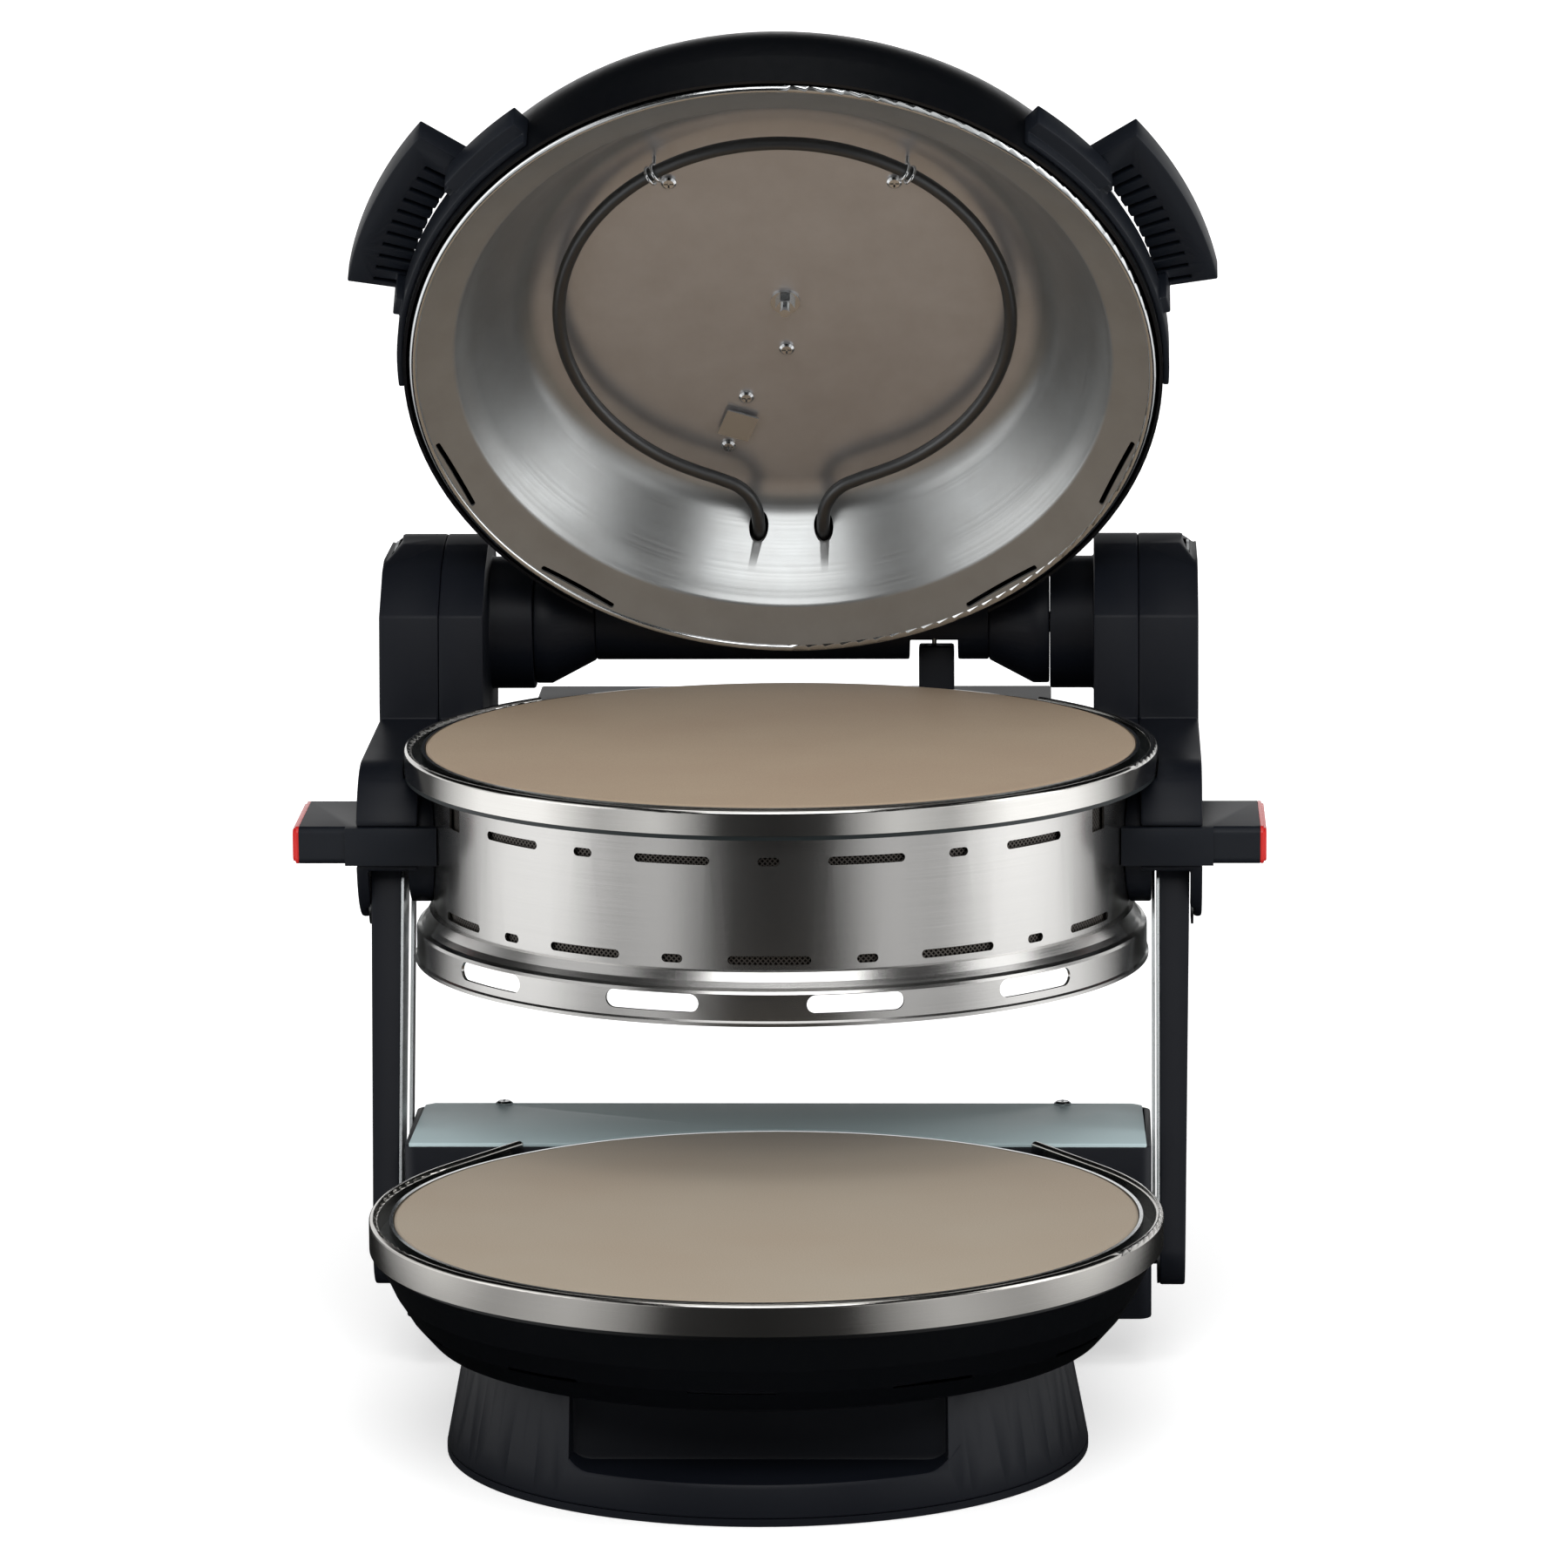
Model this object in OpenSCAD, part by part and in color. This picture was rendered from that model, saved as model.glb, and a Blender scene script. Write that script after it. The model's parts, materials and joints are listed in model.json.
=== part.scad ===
// Two-tier pizza oven: round base, lifting middle ring on parallel arms, domed lid.
// Millimetres, X to the right, Y to the back, Z up, origin on the base axis at the floor.

/* [Stones] */
// Radius of both baking stones
stone_r = 165; // [161:1:168]
// Thickness of a baking stone
stone_t = 12; // [10:0.5:13]

/* [Base] */
// Height of the lower stone's baking face
base_top = 105;
// Height where the plinth meets the bowl
bowl_floor_h = 53; // [51:1:55]
// Radius of the plinth at the floor
plinth_r = 142.6; // [138:0.5:144]
// Inward lean of the plinth over its height
plinth_lean = 9.6; // [6:0.2:11]
// Half width of the front recess
recess_half = 84.5; // [60:1:90]
// Depth of the front recess
recess_depth = 35; // [20:1:40]
// Number of vent slots low on the bowl
bowl_slots = 5; // [3:1:7]

/* [Rear box] */
// Front face of the rear box behind the base axis
box_front = 139.5;
// Rear face of the rear box behind the base axis
box_back = 227; // [222:1:236]
// Underside of the rear box above the floor
box_low = 22; // [16:1:26]
// Corner radius of the rear box
box_corner = 6; // [3:0.5:10]
// Sideways position of the rear feet
foot_x = 110; // [80:1:130]
// Outer radius of the cord gland
gland_r = 8; // [6:0.5:10]

/* [Lift] */
// How far the open ring stands behind the base axis
ring_back = 220;
// Height of the open ring's lower edge
open_z = 178.5;
// Height of the closed ring's lower edge
seat_z = 100;
// Height of the lower arm pivots
pivot_low = 48; // [46:0.5:50]
// Height of the upper arm pivots above the ring's lower edge
pivot_up = 55.5;
// Distance between the arm pivots and the link pivots
link_gap = 30; // [28:0.5:32]
// Half width of an arm at its lower end
arm_low_r = 14.5; // [12:0.5:16]
// Half width of an arm at its upper end
arm_up_r = 18; // [16:0.5:19]
// Half width of a link
link_r = 7; // [6:0.5:8]
// Radius of the arm pins
arm_pin_r = 5; // [4:0.25:5.5]
// Radius of the link pins
link_pin_r = 3.5; // [3:0.25:4]

/* [Middle ring] */
// Height of the slotted wall's lower edge above the ring's lower edge
wall_low = 23.5;
// Height of the ring's rim crest
crest_h = 99;
// Angle between neighbouring wall slots
slot_pitch = 31.5; // [30:0.25:32]
// Height of a wall slot
slot_h = 3.9; // [3:0.1:5]
// Length of a long slot in the lower row
slot_long = 37.5; // [30:0.5:42]
// Length of a short slot
slot_short = 9.8; // [7:0.2:12]
// Length of a slot in the skirt
skirt_slot = 44.5; // [36:0.5:50]

/* [Handles] */
// Length of a lifting bar from front to back
bar_len = 70.8; // [60:0.2:76]
// Height of a lifting bar
bar_h = 17.5; // [14:0.5:20]
// Reach of a lifting bar beyond the side moulding
bar_reach = 26.5; // [20:0.5:34]
// Thickness of the red end cap
cap_t = 3; // [2:0.25:5]

/* [Lid] */
// Angle through which the lid stands open
lid_open = 56.5; // [50:0.5:60]
// Height of the dome above the lid's rim plane
dome_h = 70; // [66:1:76]
// Radius of the dome's shoulder
dome_round = 50; // [44:1:52]
// Height of the reflector's ceiling above the rim plane
ceiling_h = 56; // [50:0.5:60]
// Radius of the lid heater loop
lid_heater_r = 106; // [96:0.5:110]
// Number of slots in each ear handle
ear_slots = 11; // [7:1:13]
// Radius of the cross tube
tube_r = 18.1; // [17:0.1:19]
// Radius of the hinge barrels
barrel_r = 32; // [30:0.5:34]
// Radius of the hinge shaft
shaft_r = 5; // [4:0.25:6]

/* [Hidden] */
$fn = 96;

// Clearances
gap = 0.3;        // between neighbouring pieces
run = 0.05;       // radial running fit of every pivot
eps = 0.01;       // overshoot of a cut
big = 600;        // larger than the whole product

// Sheet and wall thicknesses
sheet = 1.2;
plastic = 3;

// Radii that follow the stones
trim_in = stone_r + gap;
trim_out = stone_r + 1.9;
ledge_in = stone_r - 15;
wall_r = stone_r - 3;
wall_up = crest_h - 13.5;
skirt_r = stone_r + 5.2;
bead_r = stone_r + 6;
bowl_r = stone_r + 7.2;
base_rim_r = stone_r + 11;
ring_rim_r = stone_r + 10;
lid_r = stone_r + 10;
shell_r = stone_r + 13;
hoop_w = 3.7;
hoop_t = 1.2;

// Sideways layers from the ring wall outwards
box_half = stone_r + 6.8;
link_x = box_half + 0.8;
link_t = 1.4;
plate_x = link_x + link_t + 0.5;
plate_t = 1.2;
arm_x = plate_x + plate_t;
arm_t = 14.3;
frame_x = arm_x + arm_t + 0.5;
frame_t = 1.2;
skin_x = frame_x + frame_t;
skin_t = 3.8;
side_x = skin_x + skin_t;
seam_x = stone_r + 2;
inner_x = link_x - 0.4;

// Base heights
base_crest = base_top + 1;
channel_floor = base_top - 10;
channel_t = 2;          // the channel's sheet lies on the bowl's edge
bowl_t = 1.5;
cover_h = 3.3;
plate_h = 2;
box_top = base_top - plate_h;
rim_turn = 31.5;      // where the base rim leaves the circle
recess_low = 18;
recess_corner = 12;
screw_in = 6;         // plate screws from the box's rear and side faces
screw_side = 41;

// Lift geometry: both pivot positions keep the same arm length
ring_rise = open_z - seat_z;
mid_z = (open_z + seat_z) / 2 + pivot_up;
arm_y = ring_back / 2 + ring_rise * (mid_z - pivot_low) / ring_back;
lean_y = ring_back - arm_y;
lean_z = open_z + pivot_up - pivot_low;
arm_len = sqrt(lean_y * lean_y + lean_z * lean_z);
arm_lean = atan2(lean_y, lean_z);

// Hinge position from the ring axis and from the ring's lower edge
hinge_back = stone_r + 15;
hinge_over = 27.5;
hinge_h = crest_h + hinge_over;
barrel_out = 145.7;
barrel_in = 124.6;
knuckle_in = 95;
knuckle_r = 29.5;
tower_r = 43;
bulge_r = 37;
lip_h = 9;
lip_x = 178;
roof_h = 91.5;
bar_low = 48;
bar_front = 38.5;
bar_root = bar_front - bar_len / 2 + 4;
tower_front = 106;
deck_h = hinge_h - knuckle_r - 9;
deck_low = 56;
tab_drop = 12.1;
deck_back = 222;

// Slots
slot_wall_low = 28.5;
bowl_slot = 38.5;
bowl_pitch = 32.5;
slot_wall_up = wall_up - 12;
window_turn = 65.6;
window_w = 13;
window_h = 13;
ear_mid = 23.8;
ear_half = 13.3;
loop_h = 44;
lead_turn = 6.8;
hole_r = stone_r - 32.5;
clip_turn = 146.2;

module on_left() {
  mirror([1, 0, 0]) children();
}

module both_sides() {
  children();
  mirror([1, 0, 0]) children();
}

module ring_place() {
  translate([0, ring_back, open_z]) children();
}

// The lid's own frame has its origin in the rim plane on the lid axis
module lid_place() {
  ring_place()
    translate([0, hinge_back, hinge_h])
      rotate([-lid_open, 0, 0])
        translate([0, -hinge_back, -hinge_over])
          children();
}

// Draws a side view (Y to the right, Z up) and gives it a width along X
module along_x(x0, x1) {
  translate([x0, 0, 0])
    rotate([90, 0, 90])
      linear_extrude(x1 - x0)
        children();
}

module rod_x(x0, x1, r) {
  translate([x0, 0, 0])
    rotate([0, 90, 0])
      cylinder(r = r, h = x1 - x0, $fn = 48);
}

module tube_wall(r_out, r_in, z0, z1) {
  translate([0, 0, z0])
    difference() {
      cylinder(r = r_out, h = z1 - z0);
      translate([0, 0, -1])
        cylinder(r = r_in, h = z1 - z0 + 2);
    }
}

// Rounded slot in the XZ plane, cut from the axis outwards along -Y
module slot_cut(len, h, r0, r1) {
  translate([0, -r0, 0])
    rotate([90, 0, 0])
      linear_extrude(r1 - r0) {
        square([len - h, h], center = true);
        translate([(len - h) / 2, 0])
          circle(d = h, $fn = 24);
        translate([-(len - h) / 2, 0])
          circle(d = h, $fn = 24);
      }
}

module round_square(w, d, r) {
  square([w - 2 * r, d], center = true);
  square([w, d - 2 * r], center = true);
  for (sx = [-1, 1])
    for (sy = [-1, 1])
      translate([sx * (w / 2 - r), sy * (d / 2 - r)])
        circle(r = r, $fn = 32);
}

// Folded hoop: outer leg, rolled crest and short inner leg
module hoop_profile(r_out, z_low, z_in, z_crest) {
  mid_r = r_out - hoop_w / 2;
  roll_z = z_crest - hoop_w / 2;
  translate([r_out - hoop_t, z_low])
    square([hoop_t, roll_z - z_low]);
  translate([r_out - hoop_w, z_in])
    square([hoop_t, roll_z - z_in]);
  translate([mid_r, roll_z])
    difference() {
      circle(d = hoop_w, $fn = 32);
      circle(d = hoop_w - 2 * hoop_t, $fn = 32);
      translate([-hoop_w, -2 * hoop_w])
        square([2 * hoop_w, 2 * hoop_w]);
    }
}

// ---------- base ----------

module recess_block(grow) {
  intersection() {
    translate([0, 0, recess_low - grow])
      linear_extrude(bowl_floor_h)
        polygon([
          [-recess_half - grow, -plinth_r - 5],
          [recess_half + grow, -plinth_r - 5],
          [recess_half - recess_depth * 0.1 + grow, recess_depth - plinth_r + plinth_lean + grow],
          [-recess_half + recess_depth * 0.1 - grow, recess_depth - plinth_r + plinth_lean + grow]
        ]);
    rotate([90, 0, 0])
      linear_extrude(big)
        translate([0, recess_low - grow + big / 2])
          round_square(2 * recess_half + 2 * grow, big, recess_corner + grow);
  }
}

module plinth_solid(inset) {
  translate([0, 0, cover_h])
    cylinder(r1 = plinth_r - inset, r2 = plinth_r - plinth_lean - inset, h = bowl_floor_h - cover_h);
}

module plinth() {
  color("#1b1e23")
    difference() {
      union() {
        difference() {
          plinth_solid(0);
          translate([0, 0, -eps])
            plinth_solid(plastic);
          translate([0, 0, eps])
            plinth_solid(plastic);
        }
        intersection() {
          plinth_solid(0);
          recess_block(plastic);
        }
      }
      recess_block(0);
    }
}

module base_cover() {
  color("#15171b")
    difference() {
      cylinder(r = plinth_r, h = cover_h);
      for (a = [0 : 90 : 270])
        rotate(a + 45)
          translate([plinth_r - 18, 0, -1])
            cylinder(r = 9, h = 2.5 + eps, $fn = 32);
    }
}

module bowl_shape(inset) {
  floor_r = plinth_r - plinth_lean - 4;
  rotate_extrude()
    polygon([
      [0, bowl_floor_h + inset],
      [stone_r - 16 - inset * 0.4, bowl_floor_h + inset],
      [stone_r - 15 - inset * 0.6, bowl_floor_h + 1 + inset * 0.8],
      [stone_r - 7 - inset * 0.8, bowl_floor_h + 10 + inset * 0.5],
      [stone_r - inset * 0.9, bowl_floor_h + 21 + inset * 0.3],
      [bowl_r - inset, channel_floor - 5.5],
      [bowl_r - inset, channel_floor + inset * 10],
      [0, channel_floor + inset * 10]
    ]);
}

module base_bowl() {
  color("#1d2025")
    difference() {
      bowl_shape(0);
      bowl_shape(bowl_t);
      translate([0, 0, channel_floor - channel_t])
        cylinder(r = bowl_r + 1, h = big);
      translate([0, 0, bowl_floor_h - 1])
        cylinder(r = plinth_r - plinth_lean - 6, h = 6);
      for (i = [0 : bowl_slots - 1])
        rotate((i - (bowl_slots - 1) / 2) * bowl_pitch - 3.5)
          translate([0, 0, bowl_floor_h + 10])
            slot_cut(bowl_slot, 1.8, stone_r - 25, stone_r + 5);
    }
}

// Circle that opens out in straight lines towards the rear box
module seat_plan(r) {
  back_len = (box_front - r * sin(rim_turn)) / cos(rim_turn);
  end_x = r * cos(rim_turn) - back_len * sin(rim_turn);
  circle(r = r);
  polygon([
    [-r * cos(rim_turn), r * sin(rim_turn)],
    [r * cos(rim_turn), r * sin(rim_turn)],
    [end_x, box_front],
    [-end_x, box_front]
  ]);
}

module base_rim() {
  color("#d9dbdc")
    difference() {
      union() {
        rotate_extrude(angle = 180 + 2 * rim_turn, start = 180 - rim_turn)
          hoop_profile(base_rim_r, base_crest - 14, channel_floor, base_crest);
        both_sides()
          rotate(rim_turn)
            translate([0, 70, 0])
              rotate([90, 0, 0])
                linear_extrude(70)
                  hoop_profile(base_rim_r, base_crest - 14, channel_floor, base_crest);
      }
      translate([-big / 2, box_front - gap, 0])
        cube([big, big, big]);
    }
}

module base_trim() {
  color("#c9c5bc")
    tube_wall(trim_out, trim_in, channel_floor, base_top - 0.4);
}

module base_channel() {
  color("#141619")
    difference() {
      union() {
        translate([0, 0, channel_floor - 4])
          linear_extrude(4)
            difference() {
              circle(r = bowl_r - bowl_t - 0.05);
              circle(r = ledge_in);
            }
        translate([0, 0, channel_floor - channel_t])
          linear_extrude(channel_t)
            difference() {
              seat_plan(base_rim_r - hoop_w);
              circle(r = ledge_in);
            }
      }
      translate([0, 0, base_top - stone_t])
        cylinder(r = trim_in, h = 20);
      translate([-big / 2, box_front - gap, 0])
        cube([big, gap * 2, big]);
    }
}

module stone(top) {
  translate([0, 0, top - stone_t])
    difference() {
      cylinder(r = stone_r, h = stone_t);
      rotate_extrude()
        translate([stone_r, stone_t])
          rotate(45)
            square(1.6, center = true);
    }
}

module lower_stone() {
  color("#b0a492")
    stone(base_top);
}

// Round heater loop open at the back, with two leads turned inwards
module heater_loop(r, wire, lead) {
  rotate_extrude(angle = 336, start = 102)
    translate([r, 0])
      circle(r = wire, $fn = 24);
  for (s = [-1, 1])
    rotate(s * 12)
      translate([0, r, 0]) {
        sphere(r = wire, $fn = 24);
        rotate([90, 0, 0])
          cylinder(r = wire, h = lead, $fn = 24);
      }
}

module base_heater() {
  color("#4c4f52")
    union() {
      translate([0, 0, base_top - 22])
        heater_loop(stone_r - 50, 3.3, 30);
      for (a = [0 : 120 : 240])
        rotate(a + 30)
          translate([stone_r - 50, 0, bowl_floor_h + 18 + sheet])
            cylinder(r = 2.5, h = base_top - 22 - bowl_floor_h - 18 - sheet, $fn = 24);
    }
}

module base_reflector() {
  color("#b9bcbe")
    difference() {
      translate([0, 0, bowl_floor_h + 18])
        cylinder(r1 = stone_r - 20, r2 = stone_r - 12, h = 10);
      translate([0, 0, bowl_floor_h + 18 + sheet])
        cylinder(r1 = stone_r - 20 - sheet, r2 = stone_r - 12 - sheet, h = 10);
    }
}

// Everything round that the rear box is cut around
module base_envelope(grow) {
  rotate_extrude()
    polygon([
      [0, 0],
      [plinth_r + grow, 0],
      [plinth_r + grow, bowl_floor_h - grow],
      [stone_r - 15 + grow, bowl_floor_h - grow],
      [stone_r - 7 + grow, bowl_floor_h + 10 - grow],
      [stone_r + grow, bowl_floor_h + 21 - grow],
      [bowl_r + grow, channel_floor - 6 - grow],
      [bowl_r + grow, box_top + 5],
      [0, box_top + 5]
    ]);
}

module box_block(inset) {
  translate([0, (box_front + box_back) / 2, box_low + inset])
    linear_extrude(box_top - box_low + (inset > 0 ? 5 : -inset))
      round_square(2 * box_half - 2 * inset, box_back - box_front - 2 * inset, box_corner - min(inset, box_corner - 1));
}

module rear_box() {
  boss_r = 5;
  color("#1a1d22")
    difference() {
      union() {
        difference() {
          box_block(0);
          difference() {
            box_block(plastic);
            base_envelope(plastic + gap);
          }
        }
        both_sides()
          for (at = [[arm_y, arm_pin_r + 4], [arm_y + link_gap, link_pin_r + 4]])
            translate([0, at[0], pivot_low])
              rod_x(box_half - 16, box_half - 1, at[1]);
        for (s = [-1, 1])
          translate([s * (box_half - screw_side), box_back - screw_in, box_low + 1])
            cylinder(r = boss_r, h = box_top - box_low - 1, $fn = 32);
      }
      base_envelope(gap);
      both_sides() {
        translate([0, arm_y, pivot_low])
          rod_x(box_half - 14, box_half + 1, arm_pin_r);
        translate([0, arm_y + link_gap, pivot_low])
          rod_x(box_half - 14, box_half + 1, link_pin_r);
      }
      for (s = [-1, 1])
        translate([s * (box_half - screw_side), box_back - screw_in, box_top - 14])
          cylinder(r = 1.9, h = 20, $fn = 24);
      translate([-box_half + 50, box_back + 1, pivot_low + 4])
        rotate([90, 0, 0])
          cylinder(r = gland_r - 1.5, h = 10, $fn = 32);
    }
}

module rear_plate() {
  color("#6f7f80")
    difference() {
      translate([0, 0, box_top])
        linear_extrude(plate_h)
          difference() {
            polygon([
              [-box_half + 2.3, box_front],
              [box_half - 2.3, box_front],
              [box_half - 3.8, box_back - 6],
              [box_half - 8, box_back - 2],
              [-box_half + 8, box_back - 2],
              [-box_half + 3.8, box_back - 6]
            ]);
            circle(r = stone_r + 4);
          }
      for (s = [-1, 1])
        translate([s * (box_half - screw_side), box_back - screw_in, box_top - 1])
          cylinder(r = 1.9, h = 5, $fn = 24);
    }
}

module pan_screw(head_r, head_h, shank_r, shank) {
  difference() {
    union() {
      cylinder(r = head_r, h = head_h * 0.6, $fn = 32);
      translate([0, 0, head_h * 0.6])
        cylinder(r1 = head_r, r2 = head_r * 0.7, h = head_h * 0.4, $fn = 32);
      translate([0, 0, -shank])
        cylinder(r = shank_r, h = shank + eps, $fn = 24);
    }
    for (a = [0, 90])
      rotate(a)
        translate([-head_r * 0.6, -head_r * 0.12, head_h * 0.5])
          cube([head_r * 1.2, head_r * 0.24, head_h]);
  }
}

module plate_screws() {
  color("#c4c6c8")
    for (s = [-1, 1])
      translate([s * (box_half - screw_side), box_back - screw_in, base_top])
        pan_screw(4, 2, 1.9, 10);
}

module rear_feet() {
  color("#15171b")
    for (s = [-1, 1])
      translate([s * foot_x, box_back - 18, 2])
        cylinder(r1 = 10, r2 = 12, h = box_low - 2, $fn = 48);
}

module foot_pads() {
  color("#101113") {
    for (a = [0 : 90 : 270])
      rotate(a + 45)
        translate([plinth_r - 18, 0, 0])
          cylinder(r = 9, h = 1.5, $fn = 32);
    for (s = [-1, 1])
      translate([s * foot_x, box_back - 18, 0])
        cylinder(r = 10, h = 2, $fn = 48);
  }
}

module cord_gland() {
  color("#101113")
    translate([-box_half + 50, box_back, pivot_low + 4])
      rotate([90, 0, 0])
        difference() {
          union() {
            translate([0, 0, -5])
              cylinder(r = gland_r, h = 5, $fn = 32);
            cylinder(r = gland_r - 1.5, h = plastic + 1, $fn = 32);
          }
          translate([0, 0, -6])
            cylinder(r = gland_r - 4, h = 20, $fn = 32);
        }
}

module lower_pins() {
  color("#a9adb0")
    both_sides() {
      translate([0, arm_y, pivot_low])
        rod_x(box_half - 14, arm_x + arm_t - 6, arm_pin_r);
      translate([0, arm_y + link_gap, pivot_low])
        rod_x(box_half - 14, link_x + link_t + 0.2, link_pin_r);
    }
}

// ---------- lift ----------

module lift_place(back) {
  translate([0, arm_y + back, pivot_low])
    rotate([-arm_lean, 0, 0])
      children();
}

module arm_outline(inset) {
  circle(r = arm_low_r - inset, $fn = 64);
  translate([0, arm_len])
    circle(r = arm_up_r - inset, $fn = 64);
  polygon([
    [-arm_low_r + inset, 0],
    [arm_low_r - inset, 0],
    [arm_up_r - inset, arm_len],
    [-arm_up_r + inset, arm_len]
  ]);
}

module right_arm_body() {
  taper = 2.5;
  lift_place(0)
    difference() {
      union() {
        difference() {
          along_x(arm_x, arm_x + arm_t)
            arm_outline(0);
          along_x(arm_x - 1, arm_x + arm_t - 5.5)
            arm_outline(plastic);
        }
        rod_x(arm_x, arm_x + arm_t - 4, arm_pin_r + 4);
        translate([0, 0, arm_len])
          rod_x(arm_x, arm_x + arm_t - 1, arm_pin_r + 4);
      }
      translate([arm_x + arm_t, -50, arm_len])
        rotate([0, atan2(taper, arm_len), 0])
          translate([0, 0, -arm_len - 50])
            cube([20, 100, arm_len + 50]);
      rod_x(arm_x - 1, arm_x + arm_t - 5.5, arm_pin_r + run);
      translate([0, 0, arm_len])
        rod_x(arm_x - 1, arm_x + arm_t + 1, arm_pin_r + run);
    }
}

module right_arm_plate_body() {
  lift_place(0)
    difference() {
      along_x(plate_x, plate_x + plate_t)
        arm_outline(0.6);
      for (z = [0, arm_len])
        translate([0, 0, z])
          rod_x(plate_x - 1, plate_x + plate_t + 1, arm_pin_r + run);
    }
}

module right_link_body() {
  lift_place(link_gap)
    difference() {
      along_x(link_x, link_x + link_t) {
        translate([-link_r, 0])
          square([2 * link_r, arm_len]);
        circle(r = link_r, $fn = 48);
        translate([0, arm_len])
          circle(r = link_r, $fn = 48);
      }
      for (z = [0, arm_len])
        translate([0, 0, z])
          rod_x(link_x - 1, link_x + link_t + 1, link_pin_r + run);
    }
}

module right_arm() {
  color("#1a1d22")
    right_arm_body();
}

module left_arm() {
  color("#1a1d22")
    on_left()
      right_arm_body();
}

module right_arm_plate() {
  color("#a9adb0")
    right_arm_plate_body();
}

module left_arm_plate() {
  color("#a9adb0")
    on_left()
      right_arm_plate_body();
}

module right_link() {
  color("#b4b8ba")
    right_link_body();
}

module left_link() {
  color("#b4b8ba")
    on_left()
      right_link_body();
}

// ---------- middle ring ----------

module mid_rim() {
  open_half = barrel_in - 3.5;
  turn = acos(open_half / ring_rim_r);
  color("#d9dbdc")
    ring_place()
      rotate_extrude(angle = 180 + 2 * turn, start = 180 - turn)
        hoop_profile(ring_rim_r, wall_up + 2, wall_up + 4.5, crest_h);
}

module mid_wall() {
  color("#b7babb")
    ring_place()
      difference() {
        tube_wall(wall_r, wall_r - 1, wall_low, wall_up);
        for (i = [-2 : 2])
          rotate(i * slot_pitch)
            translate([0, 0, slot_wall_low])
              slot_cut(slot_long, slot_h, wall_r - 16, wall_r + 5);
        for (i = [-1 : 1])
          rotate(i * slot_pitch)
            translate([0, 0, slot_wall_up])
              slot_cut(slot_short, slot_h, wall_r - 16, wall_r + 5);
        for (i = [-1.5 : 1 : 1.5])
          rotate(i * slot_pitch) {
            translate([0, 0, slot_wall_up])
              slot_cut(slot_long - 2, slot_h, wall_r - 16, wall_r + 5);
            translate([0, 0, slot_wall_low])
              slot_cut(slot_short, slot_h, wall_r - 16, wall_r + 5);
          }
        for (s = [-1, 1])
          rotate(s * window_turn)
            translate([-window_w / 2, -wall_r - 5, wall_up - 2.5 - window_h])
              cube([window_w, 15, window_h]);
      }
}

module mid_mesh() {
  color("#2b2a28")
    ring_place()
      tube_wall(wall_r - 2, wall_r - 2.8, wall_low + 1, wall_up);
}

module mid_skirt() {
  skin = 1.6;
  rear_y = box_front - 24;
  color("#b7babb")
    ring_place()
      difference() {
        rotate_extrude()
          polygon([
            [wall_r - 1, wall_low],
            [wall_r + 2, wall_low],
            [wall_r + 4, wall_low - 4],
            [skirt_r - 2.5, 17],
            [skirt_r - 0.6, 15.8],
            [skirt_r, 14.5],
            [skirt_r, 2.5],
            [bead_r, 1.6],
            [bead_r, 0],
            [bead_r - 2, 0],
            [skirt_r - skin, 3],
            [skirt_r - skin, 14],
            [skirt_r - 2 * skin, 15.6],
            [wall_r + 2.5, wall_low - 4.5],
            [wall_r + 1, wall_low - 1.5],
            [wall_r - 1, wall_low - 1.5]
          ]);
        for (i = [-1 : 2])
          rotate((i - 0.58) * slot_pitch)
            translate([0, 0, 10])
              slot_cut(skirt_slot, 8.4, wall_r - 16, skirt_r + 8);
        translate([-big / 2, rear_y, -1])
          cube([big, big, base_crest - seat_z + 1.5]);
      }
}

module mid_channel() {
  color("#141619")
    ring_place()
      rotate_extrude()
        polygon([
          [ledge_in, wall_up],
          [ring_rim_r - 0.4, wall_up],
          [ring_rim_r - 0.4, wall_up + 2],
          [ring_rim_r - hoop_w, wall_up + 2],
          [ring_rim_r - hoop_w, wall_up + 4.5],
          [trim_in, wall_up + 4.5],
          [trim_in, crest_h + 0.5 - stone_t],
          [ledge_in, crest_h + 0.5 - stone_t]
        ]);
}

module mid_trim() {
  color("#c9c5bc")
    ring_place()
      tube_wall(trim_out, trim_in, wall_up + 4.5, crest_h - 0.2);
}

module upper_stone() {
  color("#a4937f")
    ring_place()
      stone(crest_h + 0.5);
}

module mid_pan() {
  color("#b9bcbe")
    ring_place()
      difference() {
        translate([0, 0, pivot_up - 1])
          cylinder(r = wall_r - 3.2, h = 9);
        translate([0, 0, pivot_up - 1 + sheet])
          cylinder(r = wall_r - 3.2 - sheet, h = 20);
      }
}

module mid_heater_upper() {
  color("#4c4f52")
    ring_place() {
      translate([0, 0, 73])
        heater_loop(stone_r - 50, 3.3, 30);
      for (a = [0 : 120 : 240])
        rotate(a + 30)
          translate([stone_r - 50, 0, pivot_up - 1 + sheet])
            cylinder(r = 2.5, h = 73 - pivot_up + 1 - sheet, $fn = 24);
    }
}

module mid_heater_lower() {
  color("#4c4f52")
    ring_place() {
      translate([0, 0, 44])
        heater_loop(stone_r - 50, 3.3, 30);
      for (a = [0 : 120 : 240])
        rotate(a + 30)
          translate([stone_r - 50, 0, 44])
            cylinder(r = 2.5, h = pivot_up - 1 - 44, $fn = 24);
    }
}

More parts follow.
